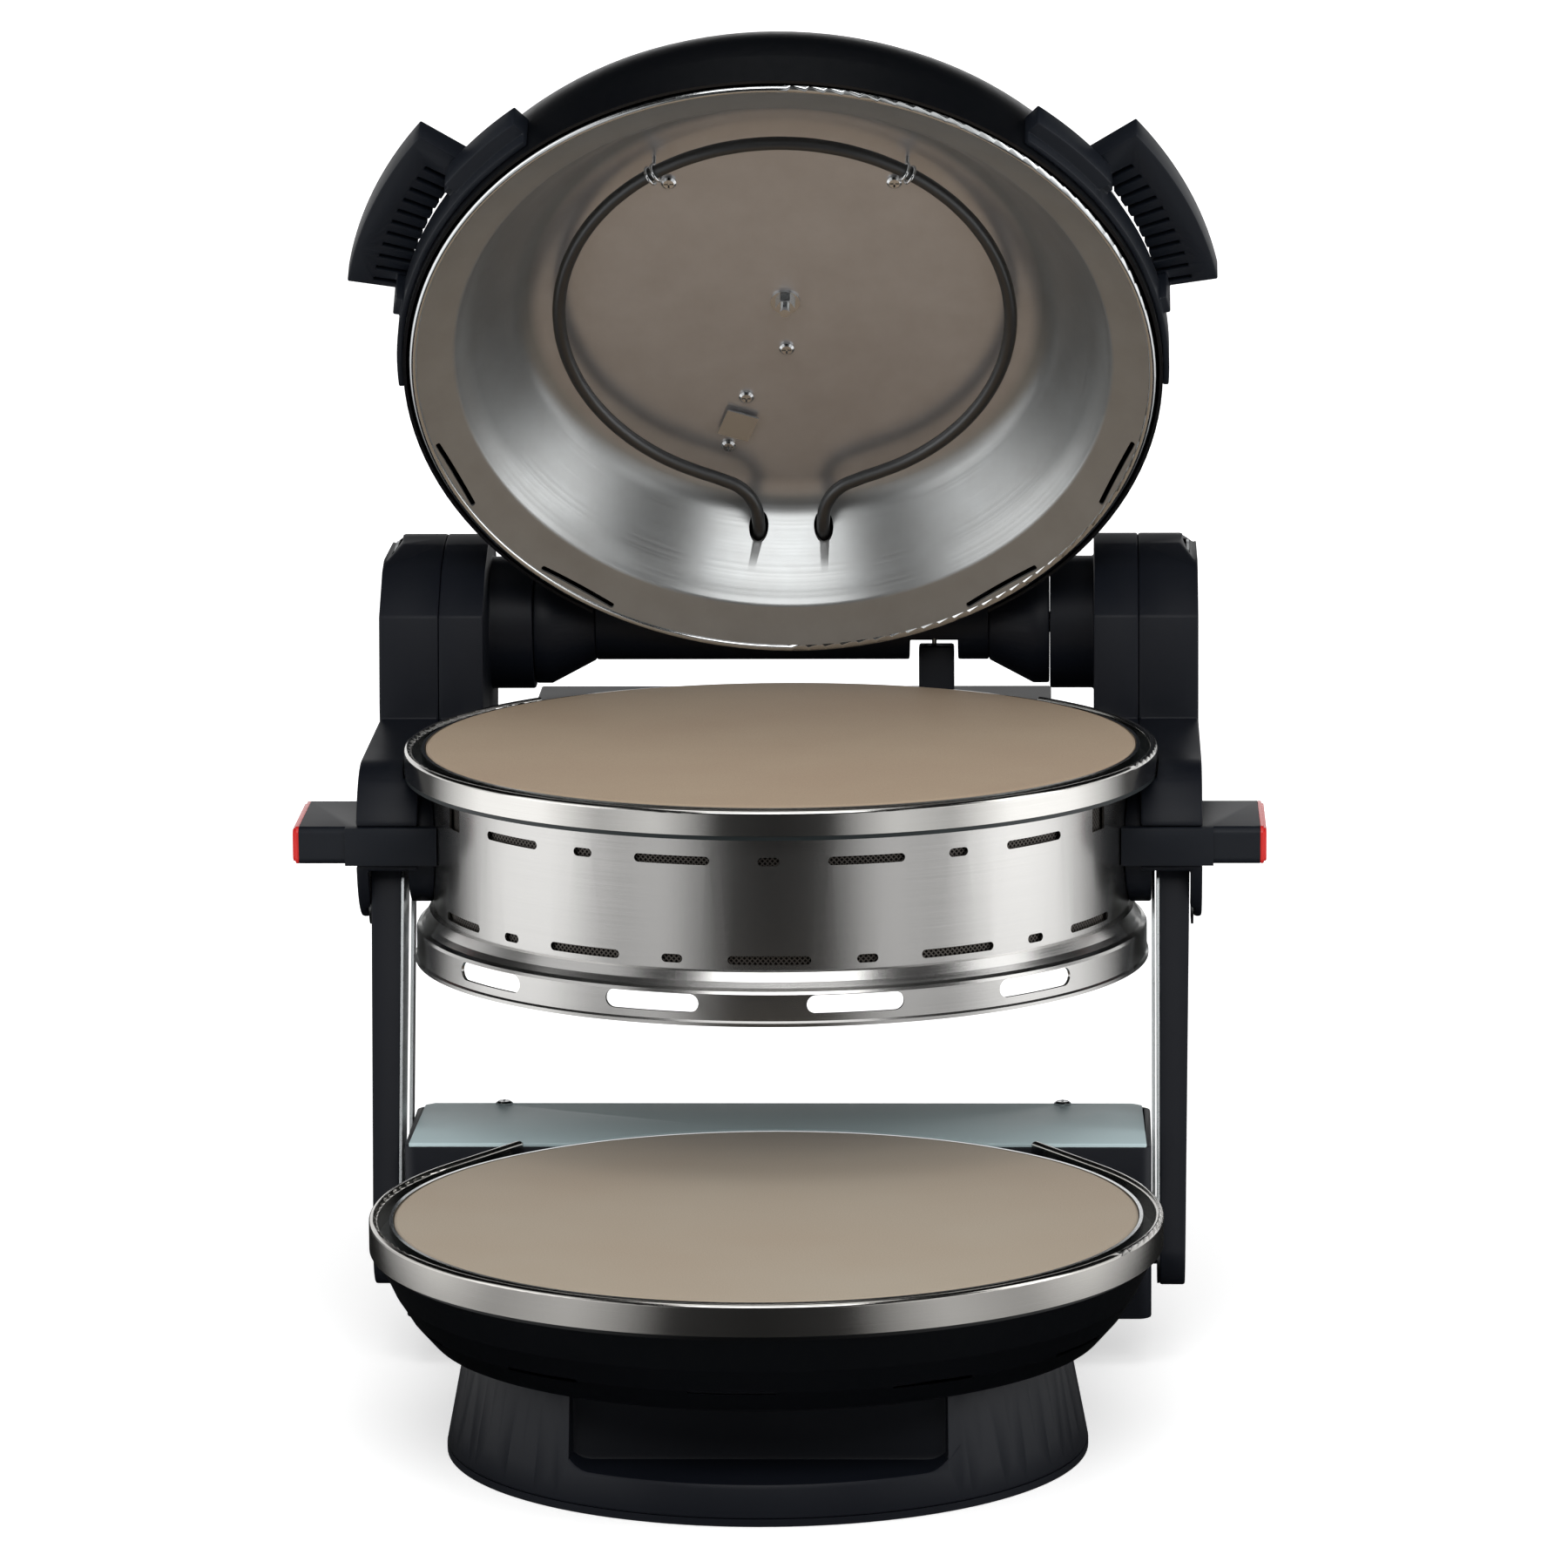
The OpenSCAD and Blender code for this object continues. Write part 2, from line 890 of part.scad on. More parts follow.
// Side view of a side moulding: rounded front, flat roof, tower round the hinge
module side_shape(inset) {
  translate([0, pivot_up - 1])
    circle(r = bulge_r - inset);
  translate([0, bar_low + inset])
    square([tower_front + 5, roof_h - bar_low - 2 * inset]);
  translate([hinge_back, hinge_h])
    circle(r = tower_r - inset);
  polygon([
    [tower_front + inset, bar_low + inset],
    [tower_front + inset, crest_h],
    [tower_front + 5 + inset, hinge_h + 14],
    [hinge_back - 46 + inset * 0.6, hinge_h + 33 - inset * 0.6],
    [hinge_back - 20, hinge_h + tower_r - 1.6 - inset],
    [hinge_back, hinge_h + tower_r - inset],
    [hinge_back + tower_r - inset, hinge_h],
    [hinge_back + 30 - inset, pivot_up + 14 + inset],
    [hinge_back - 20, bar_low + inset]
  ]);
}

// Room kept free for the ring's flange, its rim and the closed lid
module ring_room(grow) {
  translate([0, 0, wall_up - gap])
    cylinder(r = ring_rim_r + gap, h = crest_h - wall_up + gap);
  translate([0, 0, crest_h - gap])
    cylinder(r = shell_r + grow, h = big);
  translate([0, 0, -1])
    cylinder(r = wall_r + 0.1, h = wall_up + 1);
}

// Room round the root of the side handle where it enters the tower
module bar_pocket() {
  translate([seam_x - 1, -bar_front - 5, bar_low - gap])
    cube([side_x - seam_x + 2, bar_root + 5 + gap, bar_h + 2 * gap]);
}

module tower_outer_body() {
  bevel = 9;
  ring_place()
    difference() {
      union() {
        along_x(skin_x, side_x)
          side_shape(0);
        difference() {
          along_x(seam_x, skin_x)
            side_shape(0);
          along_x(seam_x - 1, skin_x + eps)
            side_shape(plastic);
          along_x(seam_x - 1, skin_x + eps)
            translate([-bulge_r * 0.6, -eps])
              square([big, bar_low + plastic + eps]);
        }
      }
      ring_room(1.5);
      bar_pocket();
      along_x(0, skin_x - frame_t - 0.6)
        translate([-bulge_r - 1, -1])
          square([bulge_r * 1.5, bar_low - 2]);
      translate([side_x, 0, hinge_h + tower_r])
        rotate([0, 45, 0])
          cube([bevel, big, bevel * 1.42], center = true);
      translate([0, hinge_back, hinge_h])
        rod_x(seam_x - 10, seam_x + 1, shaft_r);
    }
}

module tower_inner_body() {
  ring_place()
    difference() {
      union() {
        difference() {
          along_x(barrel_out, seam_x)
            difference() {
              side_shape(0);
              translate([-big + tower_front - 10, -big / 2])
                square([big, big]);
            }
          along_x(barrel_out + plastic, seam_x - plastic)
            difference() {
              side_shape(plastic);
              translate([-big + tower_front + 8, -big / 2])
                square([big, big]);
            }
        }
        translate([barrel_out, tower_front - 10, bar_low - lip_h])
          cube([lip_x - barrel_out, 60, lip_h]);
        along_x(stone_r - 17, inner_x)
          difference() {
            union() {
              translate([0, pivot_up - 1])
                circle(r = bulge_r - 7);
              translate([0, bar_low - 12])
                square([tower_front + 10, roof_h - bar_low + 4]);
            }
            translate([0, -1])
              square([tower_front + 30, 30]);
          }
        translate([0, hinge_back, hinge_h])
          rod_x(barrel_in, barrel_out + 1, barrel_r);
      }
      ring_room(1.5);
      translate([0, 0, wall_low - 30])
        cylinder(r = bead_r + gap, h = 30 + gap);
      translate([0, hinge_back, hinge_h])
        rod_x(barrel_in - 1, seam_x + 20, shaft_r);
      translate([0, 0, pivot_up])
        rod_x(inner_x - 7, inner_x + 5, arm_pin_r);
      translate([0, link_gap, pivot_up])
        rod_x(inner_x - 7, inner_x + 5, link_pin_r);
    }
}

// Steel frame plate behind the outer skin, its tongue hanging below the lifting bar
module tower_plate_body() {
  ring_place()
    difference() {
      along_x(frame_x, skin_x)
        union() {
          difference() {
            side_shape(plastic + gap);
            translate([-bulge_r, 0])
              square([big, bar_low]);
          }
          translate([-16, 24])
            square([32, bar_low]);
          translate([-6, 14.5])
            square([12, 20]);
          for (s = [-1, 1])
            translate([s * 6, 24.5])
              circle(r = 10, $fn = 48);
        }
      bar_pocket();
      translate([0, 0, pivot_up])
        rod_x(frame_x - 1, skin_x + 1, arm_pin_r);
      translate([0, hinge_back, hinge_h])
        rod_x(frame_x - 1, skin_x + 1, shaft_r);
    }
}

module rear_deck() {
  tab_x = 61;
  tab_w = 17.1;
  tab_y = hinge_back - 1;
  deck_half = 125;
  ear_h = 18;
  wire_r = 1.15;
  front_y = wall_r * 0.6;
  color("#16181c")
    ring_place()
      difference() {
        union() {
          difference() {
            union() {
              translate([-deck_half, front_y, deck_low])
                cube([2 * deck_half, deck_back - front_y, deck_h - deck_low]);
              translate([-barrel_out + 0.1, front_y, deck_low])
                cube([2 * barrel_out - 0.2, deck_back - front_y, ear_h]);
            }
            translate([-deck_half + plastic, front_y, deck_low - plastic])
              cube([2 * (deck_half - plastic), deck_back - plastic - front_y, deck_h - deck_low]);
          }
          translate([tab_x, tab_y, deck_h - plastic])
            cube([tab_w, 11, hinge_h - tab_drop - deck_h + plastic]);
        }
        ring_room(-2.5);
        both_sides()
          translate([0, hinge_back, hinge_h])
            rod_x(barrel_in - gap, barrel_out + 1, barrel_r + 0.1);
        translate([tab_x + 7.4, hinge_back + 6.7, hinge_h - tab_drop - 8])
          cylinder(r = wire_r, h = 30, $fn = 24);
      }
}

module upper_pins() {
  color("#a9adb0")
    ring_place()
      both_sides() {
        translate([0, 0, pivot_up])
          rod_x(inner_x - 7, skin_x, arm_pin_r);
        translate([0, link_gap, pivot_up])
          rod_x(inner_x - 7, link_x + link_t + 0.2, link_pin_r);
      }
}

module bar_section(inset) {
  translate([0, bar_low + bar_h / 2])
    round_square(bar_len - 2 * inset, bar_h - 2 * inset, 3.5);
}

module handle_bar_body() {
  ring_place()
    difference() {
      union() {
        along_x(side_x, side_x + bar_reach)
          bar_section(0);
        translate([stone_r - 7, -bar_front, bar_low])
          cube([side_x - stone_r + 7, bar_root, bar_h]);
        translate([side_x - 1, -bar_front, bar_low])
          cube([6, bar_root, bar_h]);
      }
      ring_room(1.5);
    }
}

module cap_body() {
  ring_place()
    union() {
      along_x(side_x + bar_reach, side_x + bar_reach + cap_t * 0.6)
        bar_section(0);
      along_x(side_x + bar_reach, side_x + bar_reach + cap_t)
        bar_section(1);
    }
}

module left_tower_outer() {
  color("#1a1d22")
    on_left()
      tower_outer_body();
}

module right_tower_outer() {
  color("#1a1d22")
    tower_outer_body();
}

module left_tower_inner() {
  color("#181b1f")
    on_left()
      tower_inner_body();
}

module right_tower_inner() {
  color("#181b1f")
    tower_inner_body();
}

module left_tower_plate() {
  color("#b4b8ba")
    on_left()
      tower_plate_body();
}

module right_tower_plate() {
  color("#b4b8ba")
    tower_plate_body();
}

module left_handle_bar() {
  color("#1a1d22")
    on_left()
      handle_bar_body();
}

module right_handle_bar() {
  color("#1a1d22")
    handle_bar_body();
}

module left_cap() {
  color("#c8302c")
    on_left()
      cap_body();
}

module right_cap() {
  color("#c8302c")
    cap_body();
}

module torsion_spring() {
  wire_r = 1.15;
  coil_r = 6.7;
  coils = 10;
  leg_x = 68.4;
  color("#b0b3b5")
    ring_place()
      translate([leg_x, hinge_back, hinge_h]) {
        for (i = [0 : coils - 1])
          translate([-i * wire_r * 1.96, 0, 0])
            rotate([0, 90, 0])
              rotate_extrude($fn = 48)
                translate([coil_r, 0])
                  circle(r = wire_r, $fn = 20);
        translate([0, coil_r, -tab_drop - 8])
          cylinder(r = wire_r, h = tab_drop + 8, $fn = 24);
      }
}

module hinge_shaft() {
  color("#a9adb0")
    ring_place()
      translate([0, hinge_back, hinge_h])
        rod_x(-skin_x, skin_x, shaft_r);
}

// ---------- lid ----------

module dome_section(inset) {
  side_h = dome_h - dome_round;
  intersection() {
    union() {
      square([shell_r - dome_round, dome_h - inset]);
      square([shell_r - inset, side_h]);
      translate([shell_r - dome_round, side_h])
        circle(r = dome_round - inset);
    }
    square([shell_r, dome_h]);
  }
}

module hinge_room(grow) {
  translate([0, hinge_back, hinge_over]) {
    rod_x(-knuckle_in, knuckle_in, tube_r + grow);
    both_sides()
      translate([knuckle_in - eps, 0, 0])
        rotate([0, 90, 0])
          cylinder(r1 = tube_r + grow, r2 = knuckle_r + grow, h = barrel_out - knuckle_in);
  }
}

module lid_shell() {
  color("#1b1e23")
    lid_place()
      difference() {
        rotate_extrude()
          difference() {
            dome_section(0);
            dome_section(1.6);
            square([big, 2]);
          }
        hinge_room(0.1);
        translate([-knuckle_in, hinge_back - 32, -1])
          cube([2 * knuckle_in, 60, hinge_over + 1]);
        translate([0, 0, dome_h - 5])
          cylinder(r = 3, h = 10, $fn = 32);
      }
}

module lid_rim() {
  color("#c9cccd")
    lid_place()
      rotate_extrude() {
        translate([lid_r - 3.6, 0.4 + 1.8])
          square([3.6, 5]);
        translate([lid_r - 1.8, 2.2])
          circle(r = 1.8, $fn = 32);
      }
}

// Underside of the dish: sloping flange, thin step, curved wall and flat ceiling
module reflector_section(drop) {
  wall_turn = 24;
  step_h = 13;
  flat_r = stone_r - 45;
  polygon([
    [0, -drop],
    [lid_r - 3.8, -drop],
    [lid_r - 3.8, 1.5],
    [stone_r - 3, step_h - 5.5],
    [stone_r - 12, step_h],
    [stone_r - 13.2, step_h + 1.6],
    [stone_r - 16, step_h + 5],
    [stone_r - 21, step_h + 12],
    [stone_r - 26, step_h + wall_turn - 4],
    [stone_r - 32, step_h + wall_turn + 4],
    [flat_r + 6, ceiling_h - 4.2],
    [flat_r + 2.5, ceiling_h - 1],
    [flat_r, ceiling_h],
    [0, ceiling_h]
  ]);
}

module lid_reflector() {
  flange_slot = 39;
  flange_start = 37;
  flange_pitch = 31.6;
  color("#bcbdbd")
    lid_place()
      difference() {
        rotate_extrude()
          difference() {
            translate([0, 0.9])
              reflector_section(0);
            reflector_section(5);
          }
        for (i = [0 : 1])
          for (s = [-1, 1])
            rotate(180 + s * (flange_start + i * flange_pitch))
              translate([0, -stone_r, -1])
                linear_extrude(14) {
                  square([flange_slot - 4, 4], center = true);
                  for (e = [-1, 1])
                    translate([e * (flange_slot - 4) / 2, 0])
                      circle(d = 4, $fn = 24);
                }
        for (s = [-1, 1])
          rotate(s * lead_turn)
            translate([0, hole_r - 14, loop_h - 1])
              rotate([-90, 0, 0])
                cylinder(r = 4.7, h = 40, $fn = 32);
        cylinder(r = 2.6, h = 80, $fn = 32);
      }
}

// Heater loop of the lid: its two bare ends turn outwards through the dish wall
module lid_heater() {
  wire = 3.15;
  bare = wire - 0.2;
  color("#4c4f52")
    lid_place()
      translate([0, 0, loop_h]) {
        rotate_extrude(angle = 360 - 2 * lead_turn, start = 90 + lead_turn)
          translate([lid_heater_r, 0])
            circle(r = wire, $fn = 24);
        for (s = [-1, 1])
          rotate(s * lead_turn)
            translate([0, lid_heater_r - 2, 0])
              rotate([-90, 0, 0])
                cylinder(r = bare, h = hole_r - lid_heater_r + 8, $fn = 24);
      }
}

module heater_clips() {
  color("#b0b3b5")
    lid_place()
      for (s = [-1, 1])
        rotate(s * clip_turn)
          translate([0, lid_heater_r, 0]) {
            for (e = [-1, 1])
              translate([e * 1.6, 0, loop_h])
                rotate([90, 0, 90])
                  rotate_extrude($fn = 32)
                    translate([4.15, 0])
                      circle(r = 0.8, $fn = 16);
            translate([0, 0, loop_h + 4])
              cylinder(r = 0.9, h = ceiling_h - loop_h - 4, $fn = 16);
            translate([-2.2, -0.9, loop_h + 3.6])
              cube([4.4, 1.8, 1.2]);
          }
}

module lid_screws() {
  color("#9fa3a6")
    lid_place()
      for (at = [[-52.7, -73.5], [52.7, -73.5], [0, 29], [-20, 59.5], [-29.5, 90.5]])
        translate([at[0], at[1], ceiling_h])
          mirror([0, 0, 1])
            pan_screw(3.6, 2, 1.5, 0);
}

module centre_bolt() {
  color("#a9adb0")
    lid_place()
      union() {
        translate([0, 0, ceiling_h - 1.2])
          cylinder(r = 7, h = 1.2, $fn = 48);
        translate([0, 0, ceiling_h - 5])
          cylinder(r = 4.6, h = 4, $fn = 6);
        translate([0, 0, ceiling_h - 9])
          cylinder(r = 2.4, h = 10, $fn = 24);
        translate([0, 0, ceiling_h])
          cylinder(r = 2.4, h = dome_h - ceiling_h - 1, $fn = 24);
      }
}

module thermostat_plate() {
  plate_side = 15.6;
  color("#a3a6a8")
    lid_place()
      translate([-24.4, 76, ceiling_h - 3])
        rotate(20.6)
          union() {
            translate([-plate_side / 2, -plate_side / 2, 0])
              cube([plate_side, plate_side, 1]);
            cylinder(r = 4, h = 3, $fn = 32);
          }
}

module sector(r0, r1, a0, a1, z0, z1) {
  rotate_extrude(angle = a1 - a0, start = a0)
    translate([r0, z0])
      square([r1 - r0, z1 - z0]);
}

// Ear handle: collar on the shell, front strut, plate with grip slots
module lid_handle_body() {
  low = 27;
  top = 39.5;
  grip_in = shell_r + 1.5;
  grip_out = shell_r + 29;
  slot_first = -ear_mid - ear_half + 4.1;
  slot_last = -ear_mid + ear_half - 1.1;
  pitch = (slot_last - slot_first) / (ear_slots - 1);
  lid_place()
    difference() {
      union() {
        sector(shell_r - 3, shell_r + 3, -50.3, 3, 6, 22);
        sector(shell_r - 6, shell_r + 10, -50.3, -ear_mid - ear_half + 2, 12, 25);
        sector(shell_r - 8, grip_in + 5, -ear_mid - ear_half, -ear_mid - ear_half + 4, 16, top);
        sector(shell_r - 8, grip_in + 5, -ear_mid + ear_half - 3, -ear_mid + ear_half, 8, top);
        sector(grip_in, grip_out, -ear_mid - ear_half, -ear_mid + ear_half, low, top);
      }
      rotate_extrude()
        dome_section(-0.05);
      for (i = [0 : ear_slots - 1])
        rotate(slot_first + i * pitch)
          translate([grip_in - 2, -1.1, low - 1])
            cube([17.5, 2.2, 9]);
    }
}

module left_lid_handle() {
  color("#1d2025")
    on_left()
      lid_handle_body();
}

module right_lid_handle() {
  color("#1d2025")
    lid_handle_body();
}

module knuckle_body() {
  lid_place()
    translate([0, hinge_back, hinge_over])
      difference() {
        union() {
          translate([knuckle_in, 0, 0])
            rotate([0, 90, 0])
              cylinder(r1 = tube_r, r2 = knuckle_r, h = barrel_in - 8 - knuckle_in);
          translate([barrel_in - 8, 0, 0])
            rod_x(0, 8 - gap, knuckle_r);
          translate([knuckle_in - 8, 0, 0])
            rod_x(0, 9, tube_r - 2.5);
        }
        rod_x(knuckle_in - 20, barrel_in + 5, shaft_r + run);
      }
}

module left_knuckle() {
  color("#1a1d22")
    on_left()
      knuckle_body();
}

module right_knuckle() {
  color("#1a1d22")
    knuckle_body();
}

module cross_tube() {
  notch_x = 56.6;
  notch_w = 23.5;
  color("#1a1d22")
    lid_place()
      translate([0, hinge_back, hinge_over])
        difference() {
          rod_x(-knuckle_in, knuckle_in, tube_r);
          rod_x(-knuckle_in - 1, knuckle_in + 1, tube_r - 2.5);
          rotate([lid_open, 0, 0])
            translate([notch_x, 0, 0])
              rotate([90, 0, 90])
                rotate_extrude(angle = 121, start = 199)
                  square([tube_r + 5, notch_w]);
        }
}

plinth();
base_cover();
base_bowl();
base_rim();
base_trim();
base_channel();
lower_stone();
base_heater();
base_reflector();
rear_box();
rear_plate();
plate_screws();
rear_feet();
foot_pads();
cord_gland();
lower_pins();
left_arm();
right_arm();
left_arm_plate();
right_arm_plate();
left_link();
right_link();
mid_rim();
mid_wall();
mid_mesh();
mid_skirt();
mid_channel();
mid_trim();
upper_stone();
mid_pan();
mid_heater_upper();
mid_heater_lower();
rear_deck();
left_tower_outer();
right_tower_outer();
left_tower_inner();
right_tower_inner();
left_tower_plate();
right_tower_plate();
upper_pins();
left_handle_bar();
right_handle_bar();
left_cap();
right_cap();
torsion_spring();
hinge_shaft();
lid_shell();
lid_reflector();
lid_rim();
lid_heater();
heater_clips();
lid_screws();
centre_bolt();
thermostat_plate();
left_lid_handle();
right_lid_handle();
left_knuckle();
right_knuckle();
cross_tube();
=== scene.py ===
# %% [markdown]
# A two-tier stone oven for pizza, standing open: a round base with one baking stone, a middle ring with
# the second stone that two arms lift up and back, and a domed lid hinged behind the ring. The solid model
# gives every piece its size and place; this lesson dresses it with the edges, tubes and finishes a maker
# would see.

# %% Load the frame
import bpy
import json
import math
from mathutils import Matrix, Vector

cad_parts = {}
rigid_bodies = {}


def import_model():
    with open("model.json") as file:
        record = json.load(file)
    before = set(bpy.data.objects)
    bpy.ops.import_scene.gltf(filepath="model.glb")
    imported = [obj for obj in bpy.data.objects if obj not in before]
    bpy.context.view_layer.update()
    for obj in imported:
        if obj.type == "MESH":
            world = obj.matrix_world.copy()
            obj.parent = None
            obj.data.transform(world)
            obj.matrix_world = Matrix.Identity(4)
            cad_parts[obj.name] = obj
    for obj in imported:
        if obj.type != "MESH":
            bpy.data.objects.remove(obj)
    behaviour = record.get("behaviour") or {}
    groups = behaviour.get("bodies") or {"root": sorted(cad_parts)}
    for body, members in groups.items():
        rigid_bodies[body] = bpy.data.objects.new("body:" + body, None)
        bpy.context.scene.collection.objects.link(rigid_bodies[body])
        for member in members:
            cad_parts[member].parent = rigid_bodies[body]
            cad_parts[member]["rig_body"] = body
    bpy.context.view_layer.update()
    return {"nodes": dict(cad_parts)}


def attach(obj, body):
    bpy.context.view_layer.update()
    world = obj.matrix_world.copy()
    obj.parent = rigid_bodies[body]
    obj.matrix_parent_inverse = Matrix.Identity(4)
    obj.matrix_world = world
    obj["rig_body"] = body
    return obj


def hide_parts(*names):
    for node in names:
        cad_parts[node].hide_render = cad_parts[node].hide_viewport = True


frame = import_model()
nodes = frame["nodes"]

# %% [markdown]
# The ring and the lid each get their own small frame, as the solid model has them. The lid's frame lies
# in its rim plane, and the lid is turned up about the hinge behind the ring.

# %% Frames of the ring and the lid
mm = 0.001
ring_at = Vector((0, 220, 178.5)) * mm
hinge_at = Vector((0, 400, 305)) * mm
lid_open = math.radians(56.5)
lid_frame = (
    Matrix.Translation(hinge_at)
    @ Matrix.Rotation(-lid_open, 4, "X")
    @ Matrix.Translation(Vector((0, -180, -27.5)) * mm)
)
print("lid rim centre", [round(v, 4) for v in lid_frame.translation])

# %% [markdown]
# Colours are written as the usual web hex values, and one function turns them into the linear numbers
# that the shaders work in. Another small function adds any node with its settings and links, so a
# material reads as a list of what is on the surface.

# %% Colour and node helpers
def hex_linear(code):
    channels = [int(code[i : i + 2], 16) / 255 for i in (1, 3, 5)]
    return tuple(c / 12.92 if c <= 0.04045 else ((c + 0.055) / 1.055) ** 2.4 for c in channels) + (1.0,)


def add(tree, kind, settings=None, **links):
    node = tree.nodes.new(kind)
    for name, value in (settings or {}).items():
        if isinstance(name, int) or name in node.inputs:
            node.inputs[name].default_value = value
        else:
            setattr(node, name, value)
    for name, source in links.items():
        key = int(name[1:]) if name[0] == "i" and name[1:].isdigit() else name
        tree.links.new(source, node.inputs[key])
    return node


def new_material(name, colour, roughness, metallic=0.0, specular=0.5):
    material = bpy.data.materials.new(name)
    material.use_nodes = True
    tree = material.node_tree
    shader = tree.nodes["Principled BSDF"]
    shader.inputs["Base Color"].default_value = hex_linear(colour)
    shader.inputs["Roughness"].default_value = roughness
    shader.inputs["Metallic"].default_value = metallic
    if metallic < 0.5:
        shader.inputs["Specular IOR Level"].default_value = specular
    return material, tree, shader


def object_coords(tree):
    return add(tree, "ShaderNodeTexCoord").outputs["Object"]


print("a dark grey in linear numbers:", [round(v, 4) for v in hex_linear("#15181d")[:3]])

# %% [markdown]
# Moulded polypropylene, spark-eroded to a fine matte grain. The grain is about 0.4 mm across and only a
# few hundredths deep, which the eye reads as a soft, slightly blue black that never gives a sharp
# reflection.

# %% Moulded black polypropylene
def moulded_pp(name, colour, low, high, specular):
    material, tree, shader = new_material(name, colour, high, specular=specular)
    coords = object_coords(tree)
    grain = add(tree, "ShaderNodeTexNoise", {"Scale": 2400.0, "Detail": 2.0}, Vector=coords)
    cloud = add(tree, "ShaderNodeTexNoise", {"Scale": 14.0, "Detail": 3.0}, Vector=coords)
    rough = add(tree, "ShaderNodeMapRange", {"To Min": low, "To Max": high}, Value=cloud.outputs["Fac"])
    tree.links.new(rough.outputs["Result"], shader.inputs["Roughness"])
    shade = add(
        tree,
        "ShaderNodeMixRGB",
        {"Color1": hex_linear(colour), "Color2": tuple(c * 1.35 for c in hex_linear(colour)[:3]) + (1.0,)},
        Fac=cloud.outputs["Fac"],
    )
    tree.links.new(shade.outputs["Color"], shader.inputs["Base Color"])
    bump = add(tree, "ShaderNodeBump", {"Strength": 0.25, "Distance": 0.00004}, Height=grain.outputs["Fac"])
    tree.links.new(bump.outputs["Normal"], shader.inputs["Normal"])
    return material


black_pp = moulded_pp("moulded black PP", "#0e1118", 0.42, 0.55, 0.22)
handle_pp = moulded_pp("moulded black PP, handles", "#10141b", 0.4, 0.5, 0.28)
print("made", black_pp.name, "and", handle_pp.name)

# %% [markdown]
# Bowl and dome are pressed steel with a satin black enamel. Fired enamel is smoother than the mouldings,
# so it takes a wider, softer highlight, with a faint orange-peel wave a few millimetres long.

# %% Satin black enamel
def satin_enamel(name, colour, roughness):
    material, tree, shader = new_material(name, colour, roughness, specular=0.35)
    coords = object_coords(tree)
    wave = add(tree, "ShaderNodeTexNoise", {"Scale": 260.0, "Detail": 1.0}, Vector=coords)
    bump = add(tree, "ShaderNodeBump", {"Strength": 0.12, "Distance": 0.00005}, Height=wave.outputs["Fac"])
    tree.links.new(bump.outputs["Normal"], shader.inputs["Normal"])
    rough = add(
        tree,
        "ShaderNodeMapRange",
        {"To Min": roughness - 0.04, "To Max": roughness + 0.06},
        Value=wave.outputs["Fac"],
    )
    tree.links.new(rough.outputs["Result"], shader.inputs["Roughness"])
    return material


enamel = satin_enamel("satin black enamel", "#07090d", 0.34)
channel_enamel = satin_enamel("satin black enamel, channel", "#1b2224", 0.35)
print("made", enamel.name)

# %% [markdown]
# The ring's drum is brushed stainless steel. The belt runs round the drum, so the scratches lie along its
# circumference: the pattern is stretched along the angle about the ring's axis and fine up its height.
# Real scratches are about 0.05 mm apart; they are drawn at 0.3 mm so that they still show.

# %% Brushed stainless steel, round a vertical axis
drum_r = 162.0
scratches_per_metre = 6


def angle_round(tree, axis_y):
    split = add(tree, "ShaderNodeSeparateXYZ", Vector=object_coords(tree))
    back = add(tree, "ShaderNodeMath", {"operation": "SUBTRACT", 1: axis_y}, i0=split.outputs["Y"])
    turn = add(tree, "ShaderNodeMath", {"operation": "ARCTAN2"}, i0=split.outputs["X"], i1=back.outputs[0])
    return split, turn


def brushed_round(name, colour, dark, roughness, axis_y, pitch_mm):
    material, tree, shader = new_material(name, colour, roughness, metallic=1.0)
    split, turn = angle_round(tree, axis_y)
    stretch = drum_r * mm * scratches_per_metre
    along = add(tree, "ShaderNodeMath", {"operation": "MULTIPLY", 1: stretch}, i0=turn.outputs[0])
    per_line = 1.0 / (pitch_mm * mm)
    up = add(tree, "ShaderNodeMath", {"operation": "MULTIPLY", 1: per_line}, i0=split.outputs["Z"])
    joined = add(tree, "ShaderNodeCombineXYZ", X=along.outputs[0], Y=up.outputs[0])
    noise = {"Scale": 1.0, "Detail": 3.0, "Roughness": 0.6}
    lines = add(tree, "ShaderNodeTexNoise", noise, Vector=joined.outputs[0])
    shade = add(
        tree,
        "ShaderNodeMixRGB",
        {"Color1": hex_linear(dark), "Color2": hex_linear(colour)},
        Fac=lines.outputs["Fac"],
    )
    tree.links.new(shade.outputs["Color"], shader.inputs["Base Color"])
    rough = add(
        tree,
        "ShaderNodeMapRange",
        {"To Min": roughness - 0.06, "To Max": roughness + 0.08},
        Value=lines.outputs["Fac"],
    )
    tree.links.new(rough.outputs["Result"], shader.inputs["Roughness"])
    bump = add(tree, "ShaderNodeBump", {"Strength": 0.18, "Distance": 0.00006}, Height=lines.outputs["Fac"])
    tree.links.new(bump.outputs["Normal"], shader.inputs["Normal"])
    return material


drum_steel = brushed_round("brushed stainless steel", "#c9c8c6", "#b3b2b0", 0.22, ring_at.y, 0.3)
ring_hoop = brushed_round("rolled bright steel, ring", "#d2d1ce", "#c2c0bc", 0.13, ring_at.y, 0.25)
base_hoop = brushed_round("rolled bright steel, base", "#c9c7c3", "#b8b5b0", 0.15, 0.0, 0.25)
print("made", drum_steel.name, ring_hoop.name, base_hoop.name)

# %% [markdown]
# Plain sheet steel for links, plates, pins and screws: the same metal with no direction in its finish,
# only a fine cold-rolled grain.

